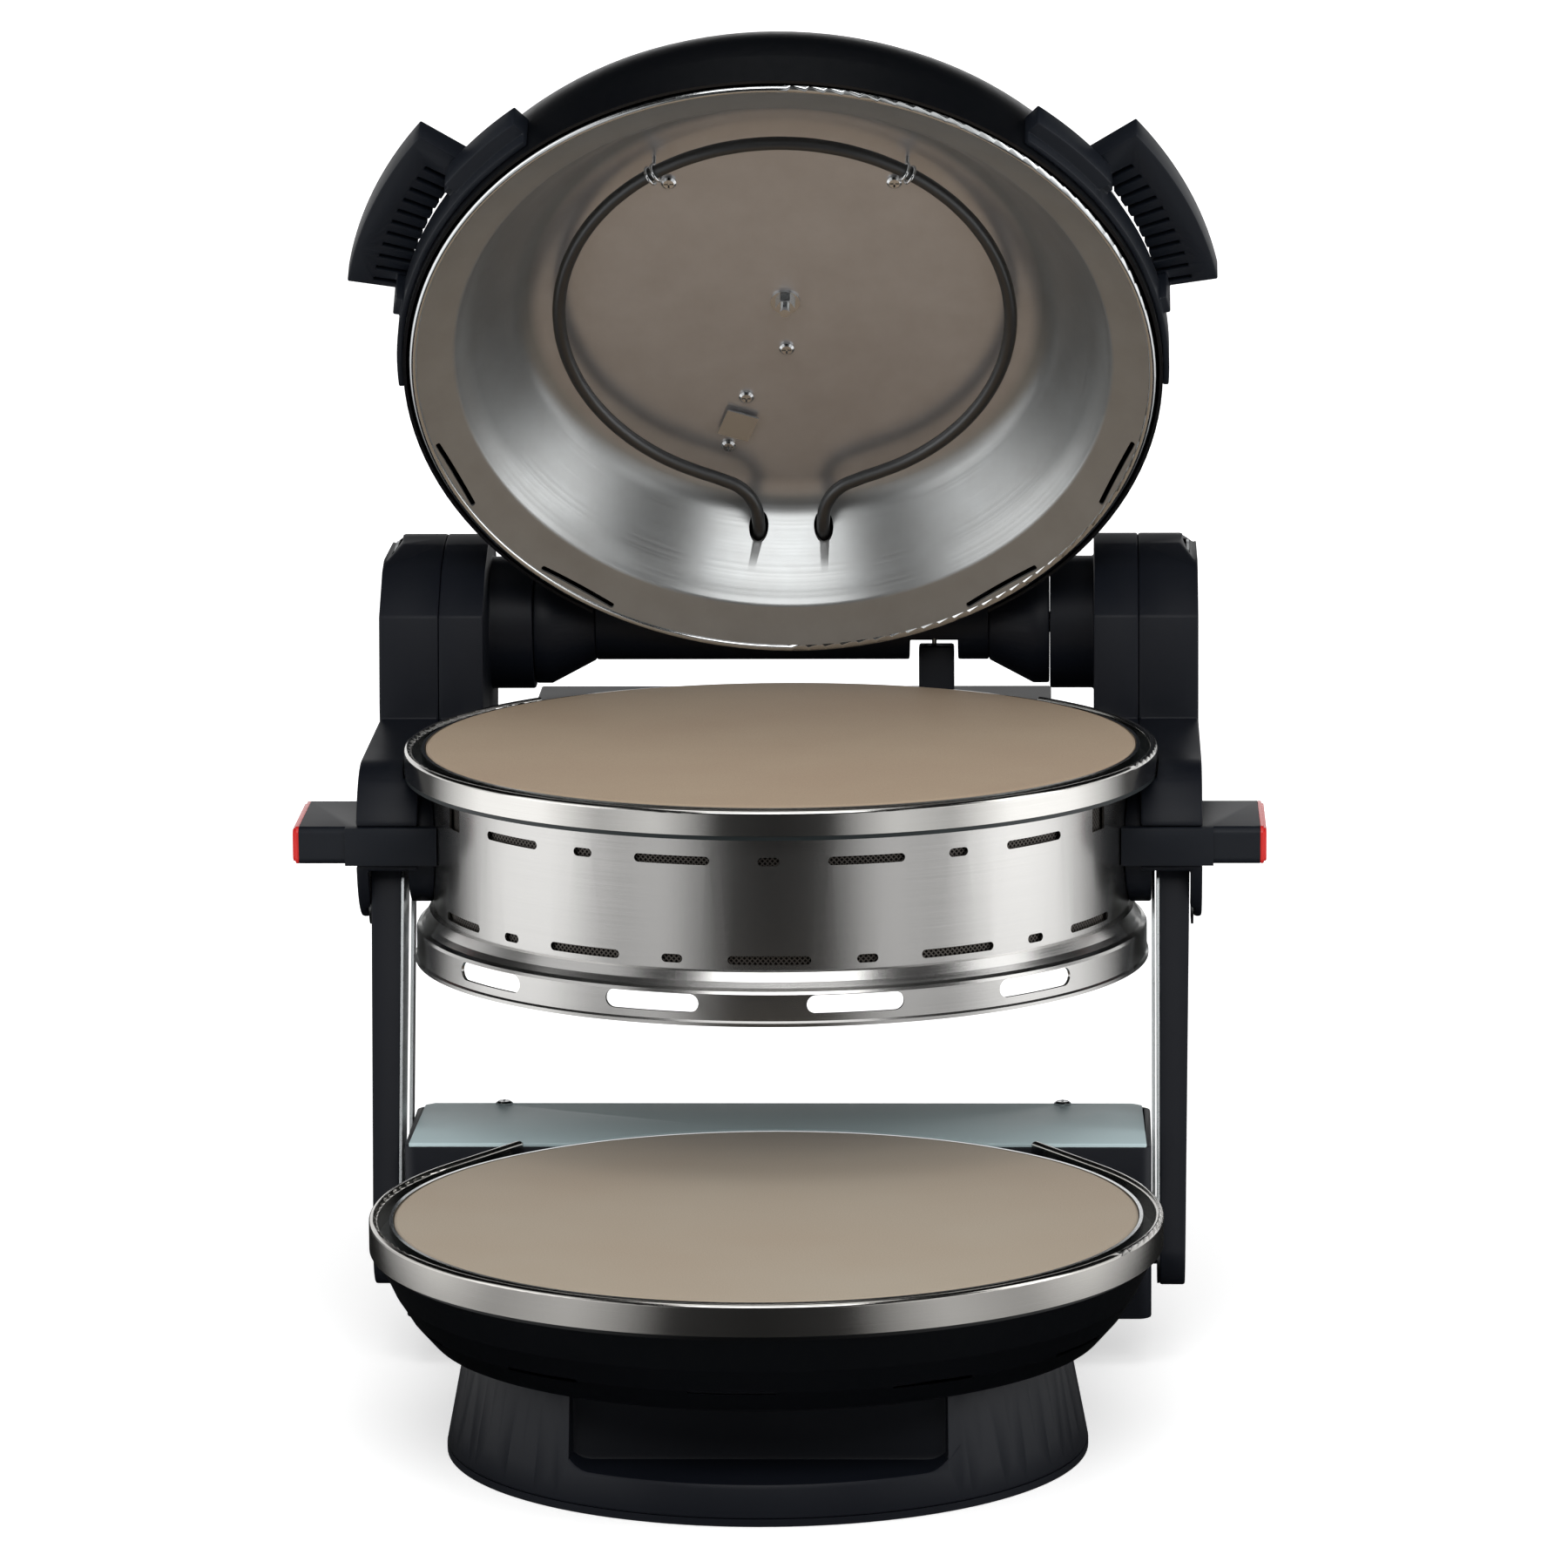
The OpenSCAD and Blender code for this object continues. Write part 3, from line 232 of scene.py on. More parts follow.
# %% Cold-rolled steel
def plain_metal(name, colour, roughness, grain_mm, depth=0.15):
    material, tree, shader = new_material(name, colour, roughness, metallic=1.0)
    coords = object_coords(tree)
    grain = add(tree, "ShaderNodeTexNoise", {"Scale": 1.0 / (grain_mm * mm), "Detail": 3.0}, Vector=coords)
    rough = add(
        tree,
        "ShaderNodeMapRange",
        {"To Min": roughness - 0.05, "To Max": roughness + 0.07},
        Value=grain.outputs["Fac"],
    )
    tree.links.new(rough.outputs["Result"], shader.inputs["Roughness"])
    bump = add(tree, "ShaderNodeBump", {"Strength": depth, "Distance": 0.00004}, Height=grain.outputs["Fac"])
    tree.links.new(bump.outputs["Normal"], shader.inputs["Normal"])
    return material


rolled_steel = plain_metal("cold-rolled steel", "#b9bdbe", 0.28, 0.6)
bright_screw = plain_metal("zinc-plated steel", "#d0d2d3", 0.18, 0.8, 0.05)
rim_steel = plain_metal("bright rolled steel rim", "#cfd2d3", 0.16, 2.0, 0.04)
print("made", rolled_steel.name)

# %% [markdown]
# The dish inside the lid is spun from aluminium: the lathe leaves fine circles about the lid's axis. The flat
# ceiling is painted a lighter grey than the wall, as painted light that lifts it against the brightly lit
# wall.
# The circles are measured in the lid's own frame, so a Mapping node turns the coordinates back by the lid's
# opening angle.

# %% Spun aluminium about the lid's axis
ceiling_h = 56.0
lathe_pitch = 0.9


def spun_aluminium(name, wall, ceiling):
    material, tree, shader = new_material(name, wall, 0.3, metallic=0.85)
    coords = object_coords(tree)
    inverse = lid_frame.inverted()
    where, turn, _ = inverse.decompose()
    local = add(
        tree,
        "ShaderNodeMapping",
        {"vector_type": "POINT", "Location": where, "Rotation": turn.to_euler()},
        Vector=coords,
    )
    split = add(tree, "ShaderNodeSeparateXYZ", Vector=local.outputs[0])
    flat = add(tree, "ShaderNodeCombineXYZ", X=split.outputs["X"], Y=split.outputs["Y"])
    radius = add(tree, "ShaderNodeVectorMath", {"operation": "LENGTH"}, i0=flat.outputs[0])
    per_ring = 1.0 / (lathe_pitch * mm)
    rings_at = add(tree, "ShaderNodeMath", {"operation": "MULTIPLY", 1: per_ring}, i0=radius.outputs["Value"])
    rings = add(
        tree,
        "ShaderNodeTexNoise",
        {"noise_dimensions": "1D", "Scale": 1.0, "Detail": 4.0},
        W=rings_at.outputs[0],
    )
    blot = add(tree, "ShaderNodeTexNoise", {"Scale": 45.0, "Detail": 5.0, "Roughness": 0.6}, Vector=coords)
    # painted light: above this height the sheet takes the lighter ceiling grey, which lifts the ceiling
    # against the lit wall
    high = add(
        tree,
        "ShaderNodeMapRange",
        {"From Min": (ceiling_h - 3.0) * mm, "From Max": (ceiling_h - 0.5) * mm},
        Value=split.outputs["Z"],
    )
    ceiling_painted_light = add(
        tree,
        "ShaderNodeMixRGB",
        {"Color1": hex_linear(wall), "Color2": hex_linear(ceiling)},
        Fac=high.outputs["Result"],
    )
    soft = add(
        tree,
        "ShaderNodeMixRGB",
        {"blend_type": "MULTIPLY", "Color2": hex_linear("#e4e1de")},
        Fac=blot.outputs["Fac"],
        Color1=ceiling_painted_light.outputs["Color"],
    )
    tree.links.new(soft.outputs["Color"], shader.inputs["Base Color"])
    uneven = {"operation": "MULTIPLY_ADD", 1: 0.12, 2: 0.26}
    mix = add(tree, "ShaderNodeMath", uneven, i0=rings.outputs["Fac"])
    tree.links.new(mix.outputs[0], shader.inputs["Roughness"])
    bump = add(tree, "ShaderNodeBump", {"Strength": 0.1, "Distance": 0.00005}, Height=rings.outputs["Fac"])
    tree.links.new(bump.outputs["Normal"], shader.inputs["Normal"])
    return material


# the second grey, #cbcbcd, is the ceiling's painted light
spun = spun_aluminium("spun aluminium", "#abaeaf", "#cbcbcd")
hidden_aluminium = plain_metal("pressed aluminium", "#b9bab9", 0.35, 1.0)
print("made", spun.name)

# %% [markdown]
# The baking stones are fired clay pressed with fine sand: warm beige, quite even, with specks of half a
# millimetre and a broad cloud of slightly lighter and darker body.

# %% Fired baking stone
def fired_stone(name, light, dark):
    material, tree, shader = new_material(name, light, 0.62, specular=0.3)
    coords = object_coords(tree)
    cloud = add(tree, "ShaderNodeTexNoise", {"Scale": 9.0, "Detail": 3.0}, Vector=coords)
    speck = add(tree, "ShaderNodeTexNoise", {"Scale": 1600.0, "Detail": 2.0}, Vector=coords)
    body = add(
        tree,
        "ShaderNodeMixRGB",
        {"Color1": hex_linear(dark), "Color2": hex_linear(light)},
        Fac=cloud.outputs["Fac"],
    )
    sand = add(
        tree,
        "ShaderNodeMapRange",
        {"From Min": 0.35, "From Max": 0.65, "To Min": 0.93, "To Max": 1.04},
        Value=speck.outputs["Fac"],
    )
    shade = sand.outputs[0]
    grains = add(tree, "ShaderNodeCombineColor", Red=shade, Green=shade, Blue=shade)
    mixed = add(
        tree,
        "ShaderNodeMixRGB",
        {"blend_type": "MULTIPLY", "Fac": 1.0},
        Color1=body.outputs["Color"],
        Color2=grains.outputs["Color"],
    )
    tree.links.new(mixed.outputs["Color"], shader.inputs["Base Color"])
    bump = add(tree, "ShaderNodeBump", {"Strength": 0.2, "Distance": 0.0001}, Height=speck.outputs["Fac"])
    tree.links.new(bump.outputs["Normal"], shader.inputs["Normal"])
    return material


upper_fired = fired_stone("fired stone, upper", "#b3a28c", "#a6907b")
lower_fired = fired_stone("fired stone, lower", "#b3a999", "#ab9a87")
print("made", upper_fired.name, lower_fired.name)

# %% [markdown]
# Behind the slots of the drum stands woven wire cloth. Its wires cross at 45 degrees, so two sine waves
# that lean either way round the drum, and the higher of them at each spot, draw the weave. Between the
# wires the sheet is painted near black: painted shade for the dark inside of the drum seen through the
# weave. The real wires are about a millimetre apart; they are drawn at 2.4 mm, so that the weave still
# shows through the slots.

# %% Woven steel mesh
mesh_r = 160.0
mesh_pitch = 2.4


def woven_mesh(name, wire, gap_painted_shade, axis_y):
    material, tree, shader = new_material(name, wire, 0.45, metallic=1.0)
    split, turn = angle_round(tree, axis_y)
    around = add(tree, "ShaderNodeMath", {"operation": "MULTIPLY", 1: mesh_r * mm}, i0=turn.outputs[0])
    waves = []
    for sign in (-1.0, 1.0):
        lean = add(
            tree,
            "ShaderNodeMath",
            {"operation": "MULTIPLY_ADD", 1: sign},
            i0=split.outputs["Z"],
            i2=around.outputs[0],
        )
        turns = math.tau / (mesh_pitch * mm)
        phase = add(tree, "ShaderNodeMath", {"operation": "MULTIPLY", 1: turns}, i0=lean.outputs[0])
        waves.append(add(tree, "ShaderNodeMath", {"operation": "SINE"}, i0=phase.outputs[0]).outputs[0])
    wires = add(tree, "ShaderNodeMath", {"operation": "MAXIMUM"}, i0=waves[0], i1=waves[1])
    shade = add(tree, "ShaderNodeMapRange", {"From Min": 0.1, "From Max": 0.9}, Value=wires.outputs[0])
    # painted shade: the low parts of the weave, between the wires, take the near-black gap colour
    mixed = add(
        tree,
        "ShaderNodeMixRGB",
        {"Color1": hex_linear(gap_painted_shade), "Color2": hex_linear(wire)},
        Fac=shade.outputs[0],
    )
    tree.links.new(mixed.outputs["Color"], shader.inputs["Base Color"])
    bump = add(tree, "ShaderNodeBump", {"Strength": 0.6, "Distance": 0.0003}, Height=shade.outputs[0])
    tree.links.new(bump.outputs["Normal"], shader.inputs["Normal"])
    return material


# 0c0b0b is the painted shade in the gaps of the weave
mesh_steel = woven_mesh("woven steel mesh", "#5d5955", "#0c0b0b", ring_at.y)
print("made", mesh_steel.name)

# %% [markdown]
# Small finishes: grey-green powder coat on the box's plate, painted lighter than the coat as painted light
# that makes up for the ring's shadow on the plate, glossy red end caps, dull rubber, and the heater tubes'
# steel, which has gone dark and slightly rough from the heat.

# %% Powder coat, red plastic, heater tube, rubber
# painted light: the plate's grey-green is lifted to make up for the ring's shadow that falls on it
powder_painted_light = satin_enamel("grey-green powder coat", "#b9cccf", 0.45)
rubber = moulded_pp("black rubber", "#0e0f10", 0.7, 0.85, 0.3)
red_cap = satin_enamel("glossy red ABS", "#c92a28", 0.2)
heater_steel = plain_metal("oxidised heater tube", "#5a5b5c", 0.42, 1.5, 0.3)
print("made", powder_painted_light.name, red_cap.name, heater_steel.name)

# %% [markdown]
# Every solid now gets the finish of its real piece. The lists go by material, as a maker's parts list
# would, and the last line prints any solid that was forgotten.

# %% Give every solid its finish
finish_of = {
    black_pp: [
        "plinth", "base_cover", "rear_box", "rear_feet", "cord_gland", "left_arm", "right_arm", "rear_deck",
        "left_tower_outer", "right_tower_outer", "left_tower_inner", "right_tower_inner", "left_knuckle",
        "right_knuckle", "cross_tube",
    ],
    handle_pp: ["left_handle_bar", "right_handle_bar", "left_lid_handle", "right_lid_handle"],
    enamel: ["base_bowl", "lid_shell"],
    channel_enamel: ["base_channel", "mid_channel"],
    drum_steel: ["mid_wall", "mid_skirt"],
    mesh_steel: ["mid_mesh"],
    base_hoop: ["base_rim"],
    ring_hoop: ["mid_rim"],
    rim_steel: ["lid_rim", "base_trim", "mid_trim"],
    rolled_steel: [
        "left_arm_plate", "right_arm_plate", "left_link", "right_link", "left_tower_plate",
        "right_tower_plate", "upper_pins", "lower_pins", "hinge_shaft", "torsion_spring",
    ],
    bright_screw: ["plate_screws", "heater_clips", "lid_screws", "centre_bolt", "thermostat_plate"],
    spun: ["lid_reflector"],
    hidden_aluminium: ["base_reflector", "mid_pan"],
    heater_steel: ["base_heater", "mid_heater_upper", "mid_heater_lower", "lid_heater"],
    upper_fired: ["upper_stone"],
    lower_fired: ["lower_stone"],
    powder_painted_light: ["rear_plate"],
    red_cap: ["left_cap", "right_cap"],
    rubber: ["foot_pads"],
}
for material, names in finish_of.items():
    for name in names:
        nodes[name].data.materials.clear()
        nodes[name].data.materials.append(material)
without = sorted(set(nodes) - {n for names in finish_of.values() for n in names})
print("solids without a finish:", without)

# %% [markdown]
# Moulded and pressed parts never have knife edges. The mould maker rounds every corner by half a
# millimetre to two millimetres, and that small radius is what catches the light as a fine line. Each CAD
# piece is copied, its triangles are merged back into flat faces, and a bevel with a few segments rounds
# the edges.

# %% Soft edges for a CAD piece
def only(piece):
    bpy.ops.object.select_all(action="DESELECT")
    piece.select_set(True)
    bpy.context.view_layer.objects.active = piece


def smooth_by_angle(piece, degrees):
    only(piece)
    bpy.ops.object.shade_smooth_by_angle(angle=math.radians(degrees))


def soften(name, width_mm, segments=2, sharp=30, clamped=False):
    source = nodes[name]
    body = source["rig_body"]
    piece = bpy.data.objects.new(name + "_soft", source.data.copy())
    bpy.context.scene.collection.objects.link(piece)
    only(piece)
    bpy.ops.mesh.customdata_custom_splitnormals_clear()
    bpy.ops.object.mode_set(mode="EDIT")
    bpy.ops.mesh.select_all(action="SELECT")
    bpy.ops.mesh.remove_doubles(threshold=0.00002)
    bpy.ops.mesh.dissolve_limited(angle_limit=math.radians(0.5))
    bpy.ops.object.mode_set(mode="OBJECT")
    edge = piece.modifiers.new("edge", "BEVEL")
    edge.width = width_mm * mm
    edge.segments = segments
    edge.limit_method = "ANGLE"
    edge.angle_limit = math.radians(sharp)
    edge.use_clamp_overlap = clamped
    bpy.ops.object.modifier_apply(modifier=edge.name)
    smooth_by_angle(piece, 32)
    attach(piece, body)
    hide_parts(name)
    return piece


softened = {
    "plinth": 1.2, "rear_box": 0.8, "rear_plate": 0.5, "left_arm": 1.0, "right_arm": 1.0,
    "left_tower_outer": 1.2, "right_tower_outer": 1.2, "left_tower_inner": 1.0, "right_tower_inner": 1.0,
    "left_handle_bar": 1.0, "right_handle_bar": 1.0, "left_cap": 0.5, "right_cap": 0.5,
    "left_lid_handle": 0.8, "right_lid_handle": 0.8, "left_knuckle": 1.0, "right_knuckle": 1.0,
    "cross_tube": 0.8, "rear_deck": 1.0, "upper_stone": 1.2, "lower_stone": 1.2,
}
for name, width in softened.items():
    # the side bars taper into a slim root, where an unclamped bevel runs out into a spike
    piece = soften(name, width, clamped=name.endswith("handle_bar"))
    print(piece.name, len(piece.data.polygons), "faces")

# %% [markdown]
# The dish inside the lid is the brightest thing on the oven, so it is turned again with a smoother
# outline than the solid has. A circle of edges is drawn at the rim, then extruded and scaled ring by ring
# towards the axis, which is just how a lathe hand works the sheet over the former.

# %% Turned sheet
def rounded(corners, steps=6):
    outline = [Vector(corners[0][:2])]
    for before, here, after in zip(corners, corners[1:], corners[2:]):
        point = Vector(here[:2])
        reach = here[2] if len(here) > 2 else 0.0
        back, ahead = Vector(before[:2]) - point, Vector(after[:2]) - point
        reach = min(reach, 0.48 * back.length, 0.48 * ahead.length)
        start, end = point + back.normalized() * reach, point + ahead.normalized() * reach
        for step in range(steps + 1 if reach else 1):
            t = step / steps
            outline.append(start * (1 - t) ** 2 + point * (2 * t * (1 - t)) + end * t * t)
    outline.append(Vector(corners[-1][:2]))
    return outline


def turned(name, outline, segments=256):
    radius, height = outline[0]
    bpy.ops.mesh.primitive_circle_add(vertices=segments, radius=radius * mm, location=(0, 0, height * mm))
    piece = bpy.context.object
    piece.name = name
    bpy.ops.object.mode_set(mode="EDIT")
    bpy.ops.mesh.select_all(action="SELECT")
    for inner, outer in zip(outline[1:], outline):
        bpy.ops.mesh.extrude_edges_move(TRANSFORM_OT_translate={"value": (0, 0, (inner[1] - outer[1]) * mm)})
        if inner[0] < 0.01:
            bpy.ops.mesh.merge(type="CENTER")
        else:
            bpy.ops.transform.resize(value=(inner[0] / outer[0], inner[0] / outer[0], 1))
    bpy.ops.mesh.select_all(action="SELECT")
    bpy.ops.mesh.normals_make_consistent(inside=False)
    bpy.ops.object.mode_set(mode="OBJECT")
    bpy.ops.object.transform_apply(location=True, rotation=True, scale=True)
    return piece


def place_in(piece, matrix):
    only(piece)
    piece.matrix_world = matrix
    bpy.ops.object.transform_apply(location=True, rotation=True, scale=True)


dish_corners = [
    (172.0, 1.6), (162.4, 7.0, 3.5), (154.4, 10.9, 1.3), (152.4, 13.6, 1.5), (147.5, 19.5, 9.0),
    (127.0, 50.0, 12.0), (117.0, ceiling_h, 9.0), (60.0, ceiling_h), (0.0, ceiling_h),
]
dish = turned("lid_dish", rounded(dish_corners))
print("dish faces", len(dish.data.polygons))

# %% [markdown]
# The sheet gets its thickness from a Solidify modifier.

# %% Thickness of the dish
sheet_t = 0.9
sheet = dish.modifiers.new("sheet", "SOLIDIFY")
sheet.thickness = sheet_t * mm
sheet.offset = 1.0
only(dish)
bpy.ops.object.modifier_apply(modifier=sheet.name)
print("dish sheet", sheet_t, "mm")

# %% [markdown]
# The rounded slots in the dish's flange and the two holes that let the heater ends through are cut with
# one joined cutter. A slot cutter is a cylinder whose two halves are pulled apart.

# %% Slots of the dish
flange_slot = {"length": 42.0, "width": 2.2, "depth": 20.0, "radius": 168.4, "height": 6.0}
flange_first, flange_step = 37.1, 31.3
lead_hole = {"length": 9.4, "width": 9.4, "depth": 30.0, "radius": 132.0, "height": 40.0}
lead_turn = 6.8


def slot_cutter(turn_deg, length, width, depth, radius, height):
    bpy.ops.object.select_all(action="DESELECT")
    bpy.ops.mesh.primitive_cylinder_add(vertices=32, radius=width / 2 * mm, depth=depth * mm)
    cutter = bpy.context.object
    for vertex in cutter.data.vertices:
        if abs(vertex.co.x) > 1e-7:
            vertex.co.x += math.copysign((length - width) / 2 * mm, vertex.co.x)
    cutter.matrix_world = Matrix.Rotation(math.radians(turn_deg), 4, "Z") @ Matrix.Translation(
        Vector((0, radius, height)) * mm
    )
    return cutter


flange_turns = [flange_first, flange_first + flange_step]
cutters = [slot_cutter(side * turn, **flange_slot) for side in (-1, 1) for turn in flange_turns]
cutters += [slot_cutter(side * lead_turn, **lead_hole) for side in (-1, 1)]
bpy.ops.object.select_all(action="DESELECT")
for cutter in cutters:
    cutter.select_set(True)
bpy.context.view_layer.objects.active = cutters[0]
bpy.ops.object.join()
cutter = bpy.context.object
cut = dish.modifiers.new("slots", "BOOLEAN")
cut.operation = "DIFFERENCE"
cut.solver = "EXACT"
cut.object = cutter
only(dish)
bpy.ops.object.modifier_apply(modifier=cut.name)
bpy.data.objects.remove(cutter)
place_in(dish, lid_frame)
smooth_by_angle(dish, 40)
dish.data.materials.append(spun)
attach(dish, "lid")
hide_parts("lid_reflector")
print("dish faces after cutting", len(dish.data.polygons))

# %% [markdown]
# The lid's heater is one tube bent almost into a full circle. Its two ends swing back in an S and dive
# through the dish wall. A Bezier curve with automatic handles through a point every eight degrees is as
# round as a circle.

# %% Bent tubes
def bent_tube(name, points, radius_mm, resolution=8, sides=5):
    bpy.ops.object.select_all(action="DESELECT")
    bpy.ops.curve.primitive_bezier_curve_add()
    curve = bpy.context.object
    curve.name = name
    curve.location = (0, 0, 0)
    spline = curve.data.splines[0]
    spline.bezier_points.add(len(points) - len(spline.bezier_points))
    for knot, point in zip(spline.bezier_points, points):
        knot.co = Vector(point) * mm
        knot.handle_left_type = knot.handle_right_type = "AUTO"
    curve.data.bevel_depth = radius_mm * mm
    curve.data.bevel_resolution = sides
    curve.data.resolution_u = resolution
    curve.data.use_fill_caps = True
    bpy.ops.object.convert(target="MESH")
    tube = bpy.context.object
    bpy.ops.object.shade_smooth()
    return tube


heater_r, heater_h, tube_r = 106.5, 44.0, 3.15
loop = []
for degrees in range(24, 337, 8):
    turn = math.radians(degrees)
    loop.append((-heater_r * math.sin(turn), heater_r * math.cos(turn), heater_h))
start = [
    (-15.6, 137.0, 42.0), (-15.6, 127.0, 41.0), (-17.2, 117.0, 42.5), (-23.5, 107.5, 43.6),
    (-33.0, 102.0, heater_h),
]
end = [(-x, y, h) for x, y, h in reversed(start)]
lid_tube = bent_tube("lid_heater_tube", start + loop + end, tube_r)
place_in(lid_tube, lid_frame)
lid_tube.data.materials.append(heater_steel)
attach(lid_tube, "lid")
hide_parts("lid_heater")
print("heater tube vertices", len(lid_tube.data.vertices))

# %% [markdown]
# The floor is a plain pale sheet lying on a light table: it glows faintly for the camera, more and more
# with the distance, so that it runs into the white backdrop without a line, while the oven still throws
# its soft shadow on the part near it. Polished and glossy surfaces mirror that same white table.

# %% Floor
floor_z = -0.0002
bpy.ops.object.select_all(action="DESELECT")
bpy.ops.mesh.primitive_plane_add(size=60, location=(0, 0, floor_z))
floor = bpy.context.object
floor.name = "floor"
floor_paint, floor_tree, floor_shader = new_material("pale floor", "#f4f4f4", 0.9, specular=0.05)
rays = add(floor_tree, "ShaderNodeLightPath")
reach = add(floor_tree, "ShaderNodeVectorMath", {"operation": "LENGTH"}, i0=object_coords(floor_tree))
glow = add(
    floor_tree,
    "ShaderNodeMapRange",
    {"From Min": 0.45, "From Max": 1.4, "To Min": 0.5, "To Max": 1.0},
    Value=reach.outputs["Value"],
)
seen_by = rays.outputs["Is Camera Ray"]
for kind in ("Is Glossy Ray", "Is Transmission Ray"):
    either = add(floor_tree, "ShaderNodeMath", {"operation": "MAXIMUM"}, i0=seen_by, i1=rays.outputs[kind])
    seen_by = either.outputs[0]
seen = add(floor_tree, "ShaderNodeMath", {"operation": "MULTIPLY"}, i0=glow.outputs[0], i1=seen_by)
matte_share = 0.5
glow_up = add(
    floor_tree,
    "ShaderNodeMath",
    {"operation": "MULTIPLY_ADD", 1: matte_share},
    i0=rays.outputs["Is Diffuse Ray"],
    i2=seen.outputs[0],
)
lit = add(floor_tree, "ShaderNodeEmission", Strength=glow_up.outputs[0])
table = add(floor_tree, "ShaderNodeAddShader", i0=floor_shader.outputs[0], i1=lit.outputs[0])
floor_tree.links.new(table.outputs[0], floor_tree.nodes["Material Output"].inputs["Surface"])
floor.data.materials.append(floor_paint)
print("floor", floor.name)

# %% [markdown]
# Upright metal seen from slightly above mirrors the floor, not the lamps, so black paper is laid on the
# table to give the steel drum its dark bands. The sheet is black near the oven and before it, and cut
# away in two fans to its sides. The fans are a colour ramp over the angle about the ring's axis, which
# lets their edges be soft.

# %% Black sheet on the table
sheet_near, sheet_far = 0.4, 0.6


def fans_cut_away(tree, centre_y, near, far):
    centre = (0, centre_y, 0)
    coords = add(tree, "ShaderNodeVectorMath", {"operation": "SUBTRACT", 1: centre}, i0=object_coords(tree))
    split = add(tree, "ShaderNodeSeparateXYZ", Vector=coords.outputs[0])
    side = add(tree, "ShaderNodeMath", {"operation": "ABSOLUTE"}, i0=split.outputs["X"])
    ahead = add(tree, "ShaderNodeMath", {"operation": "MULTIPLY", 1: -1.0}, i0=split.outputs["Y"])
    turn = add(tree, "ShaderNodeMath", {"operation": "ARCTAN2"}, i0=side.outputs[0], i1=ahead.outputs[0])
    share = add(tree, "ShaderNodeMath", {"operation": "DIVIDE", 1: math.pi}, i0=turn.outputs[0])
    fan = add(tree, "ShaderNodeValToRGB", Fac=share.outputs[0])
    stops = {
        0.0: 0.01, 0.09: 0.02, 0.14: 0.3, 0.19: 0.5, 0.29: 0.33, 0.4: 0.86, 0.54: 0.88, 0.62: 0.5, 0.7: 0.04,
    }
    ramp = fan.color_ramp
    while len(ramp.elements) < len(stops):
        ramp.elements.new(0.5)
    for element, (at, level) in zip(ramp.elements, stops.items()):
        element.position = at
        element.color = (level, level, level, 1)
    distance = add(tree, "ShaderNodeVectorMath", {"operation": "LENGTH"}, i0=coords.outputs[0])
    edge = {"From Min": near, "From Max": far}
    away = add(tree, "ShaderNodeMapRange", edge, Value=distance.outputs["Value"])
    both = add(tree, "ShaderNodeMath", {"operation": "MULTIPLY"}, i0=fan.outputs["Color"], i1=away.outputs[0])
    return both.outputs[0]


sheet_black, sheet_tree, sheet_shader = new_material("cut black sheet", "#050505", 0.9, specular=0.05)
opening = add(sheet_tree, "ShaderNodeBsdfTransparent")
cut_out = add(
    sheet_tree,
    "ShaderNodeMixShader",
    i0=fans_cut_away(sheet_tree, ring_at.y, sheet_near, sheet_far),
    i1=sheet_shader.outputs[0],
    i2=opening.outputs[0],
)
sheet_tree.links.new(cut_out.outputs[0], sheet_tree.nodes["Material Output"].inputs["Surface"])
print("made", sheet_black.name)

# %% [markdown]
# The sheet, a card overhead and one behind the camera are real sheets that only mirrored rays meet, so
# the camera never sees them and they take no light from the oven.

# %% Cards in place
card_black, card_tree, card_shader = new_material("black card", "#050505", 0.9, specular=0.05)


def black_card(name, size, place, turn, paint):
    bpy.ops.object.select_all(action="DESELECT")
    bpy.ops.mesh.primitive_plane_add(size=size, location=place, rotation=turn)
    card = bpy.context.object
    card.name = name
    card.data.materials.append(paint)
    card.visible_camera = card.visible_diffuse = card.visible_transmission = card.visible_shadow = False
    return card


black_card("table_sheet", 16, (0, 0, floor_z / 2), (0, 0, 0), sheet_black)
black_card("ceiling_card", 22, (0, 0, 4.2), (0, 0, 0), card_black)
black_card("camera_side_card", 10, (0, -6, 5), (math.pi / 2, 0, 0), card_black)

# %% [markdown]
# The camera stands almost four metres away and looks about ten degrees down, with a long lens, so the
# oven's rims are seen as slim ellipses. Its place is built up from three angles: down, a slight turn and
# a slight tilt.

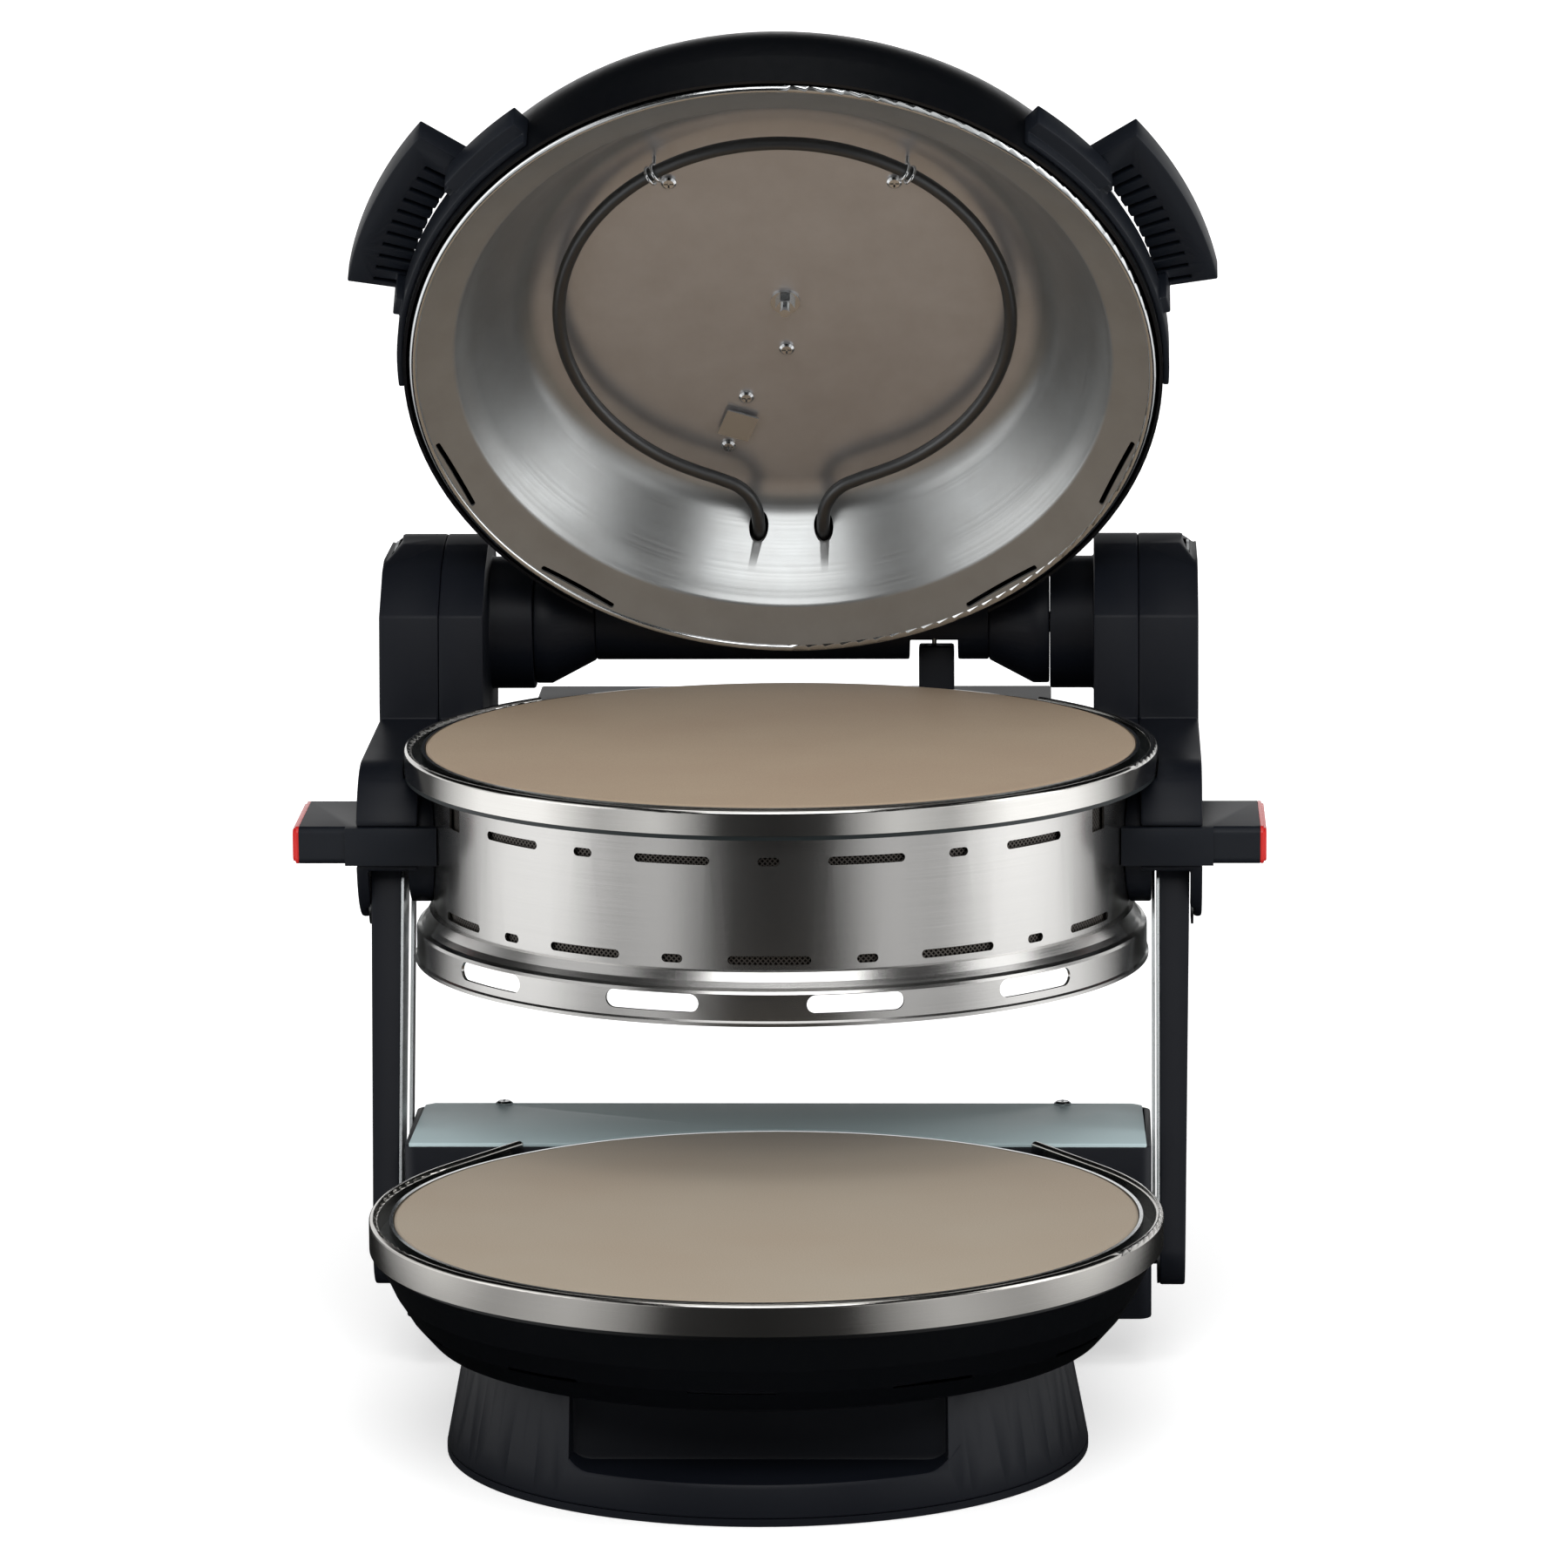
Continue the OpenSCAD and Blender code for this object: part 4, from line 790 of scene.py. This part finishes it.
# %% Camera at the viewing angle
def aim_camera(place, down, turn, tilt, focal_px, frame_px):
    forward = Vector((-math.sin(turn) * math.cos(down), math.cos(turn) * math.cos(down), -math.sin(down)))
    level = Vector((math.cos(turn), math.sin(turn), 0))
    raised = level.cross(forward)
    right = level * math.cos(tilt) + raised * math.sin(tilt)
    upward = raised * math.cos(tilt) - level * math.sin(tilt)
    camera = bpy.data.objects.new("camera", bpy.data.cameras.new("camera"))
    bpy.context.scene.collection.objects.link(camera)
    camera.data.sensor_width = 36
    camera.data.lens = 36 * focal_px / frame_px
    camera.data.clip_end = 100
    camera.matrix_world = Matrix.Translation(place) @ Matrix((right, upward, -forward)).transposed().to_4x4()
    bpy.context.scene.camera = camera
    return camera


camera = aim_camera(
    Vector((139.11, -3705.46, 973.47)) * mm,
    math.radians(10.3245),
    math.radians(2.0082),
    math.radians(-0.3963),
    9853.4,
    1800,
)
print("lens", round(camera.data.lens, 2))

# %% [markdown]
# Four soft boxes light the oven: one to each side, one overhead and a broad one above the camera, all
# aimed at it.

# %% Lamps
def soft_box(name, place, aim, width, height, power):
    lamp = bpy.data.objects.new(name, bpy.data.lights.new(name, "AREA"))
    bpy.context.scene.collection.objects.link(lamp)
    lamp.data.shape = "RECTANGLE"
    lamp.data.size = width
    lamp.data.size_y = height
    lamp.data.energy = power
    lamp.location = place
    lamp.rotation_euler = (Vector(aim) - Vector(place)).to_track_quat("-Z", "Y").to_euler()
    return lamp


soft_box("left box", (-2.9, -0.9, 1.2), aim=(0, 0.15, 0.3), width=2.2, height=2.4, power=15)
soft_box("right box", (2.9, -0.25, 1.2), aim=(0, 0.15, 0.3), width=1.3, height=2.6, power=21)
soft_box("top box", (0, -0.5, 3.0), aim=(0, 0.15, 0.2), width=2.2, height=1.8, power=19)
soft_box("front box", (0.2, -3.4, 3.0), aim=(0, 0.2, 0.2), width=3.6, height=2.2, power=85)

# %% [markdown]
# The studio round the oven: the camera, mirrors and clear parts all see plain white, and matte surfaces
# get an even and weaker fill.

# %% World
world = bpy.context.scene.world or bpy.data.worlds.new("world")
bpy.context.scene.world = world
world.use_nodes = True
world_tree = world.node_tree
world_tree.nodes.clear()
path = add(world_tree, "ShaderNodeLightPath")
fill = add(world_tree, "ShaderNodeBackground", {"Color": (1, 1, 1, 1), "Strength": 0.38})
white = add(world_tree, "ShaderNodeBackground", {"Color": (1, 1, 1, 1), "Strength": 1.0})
matte = path.outputs["Is Diffuse Ray"]
backdrop = add(world_tree, "ShaderNodeMixShader", i0=matte, i1=white.outputs[0], i2=fill.outputs[0])
add(world_tree, "ShaderNodeOutputWorld", Surface=backdrop.outputs[0])
bpy.context.scene.view_settings.view_transform = "Standard"
print("world ready")
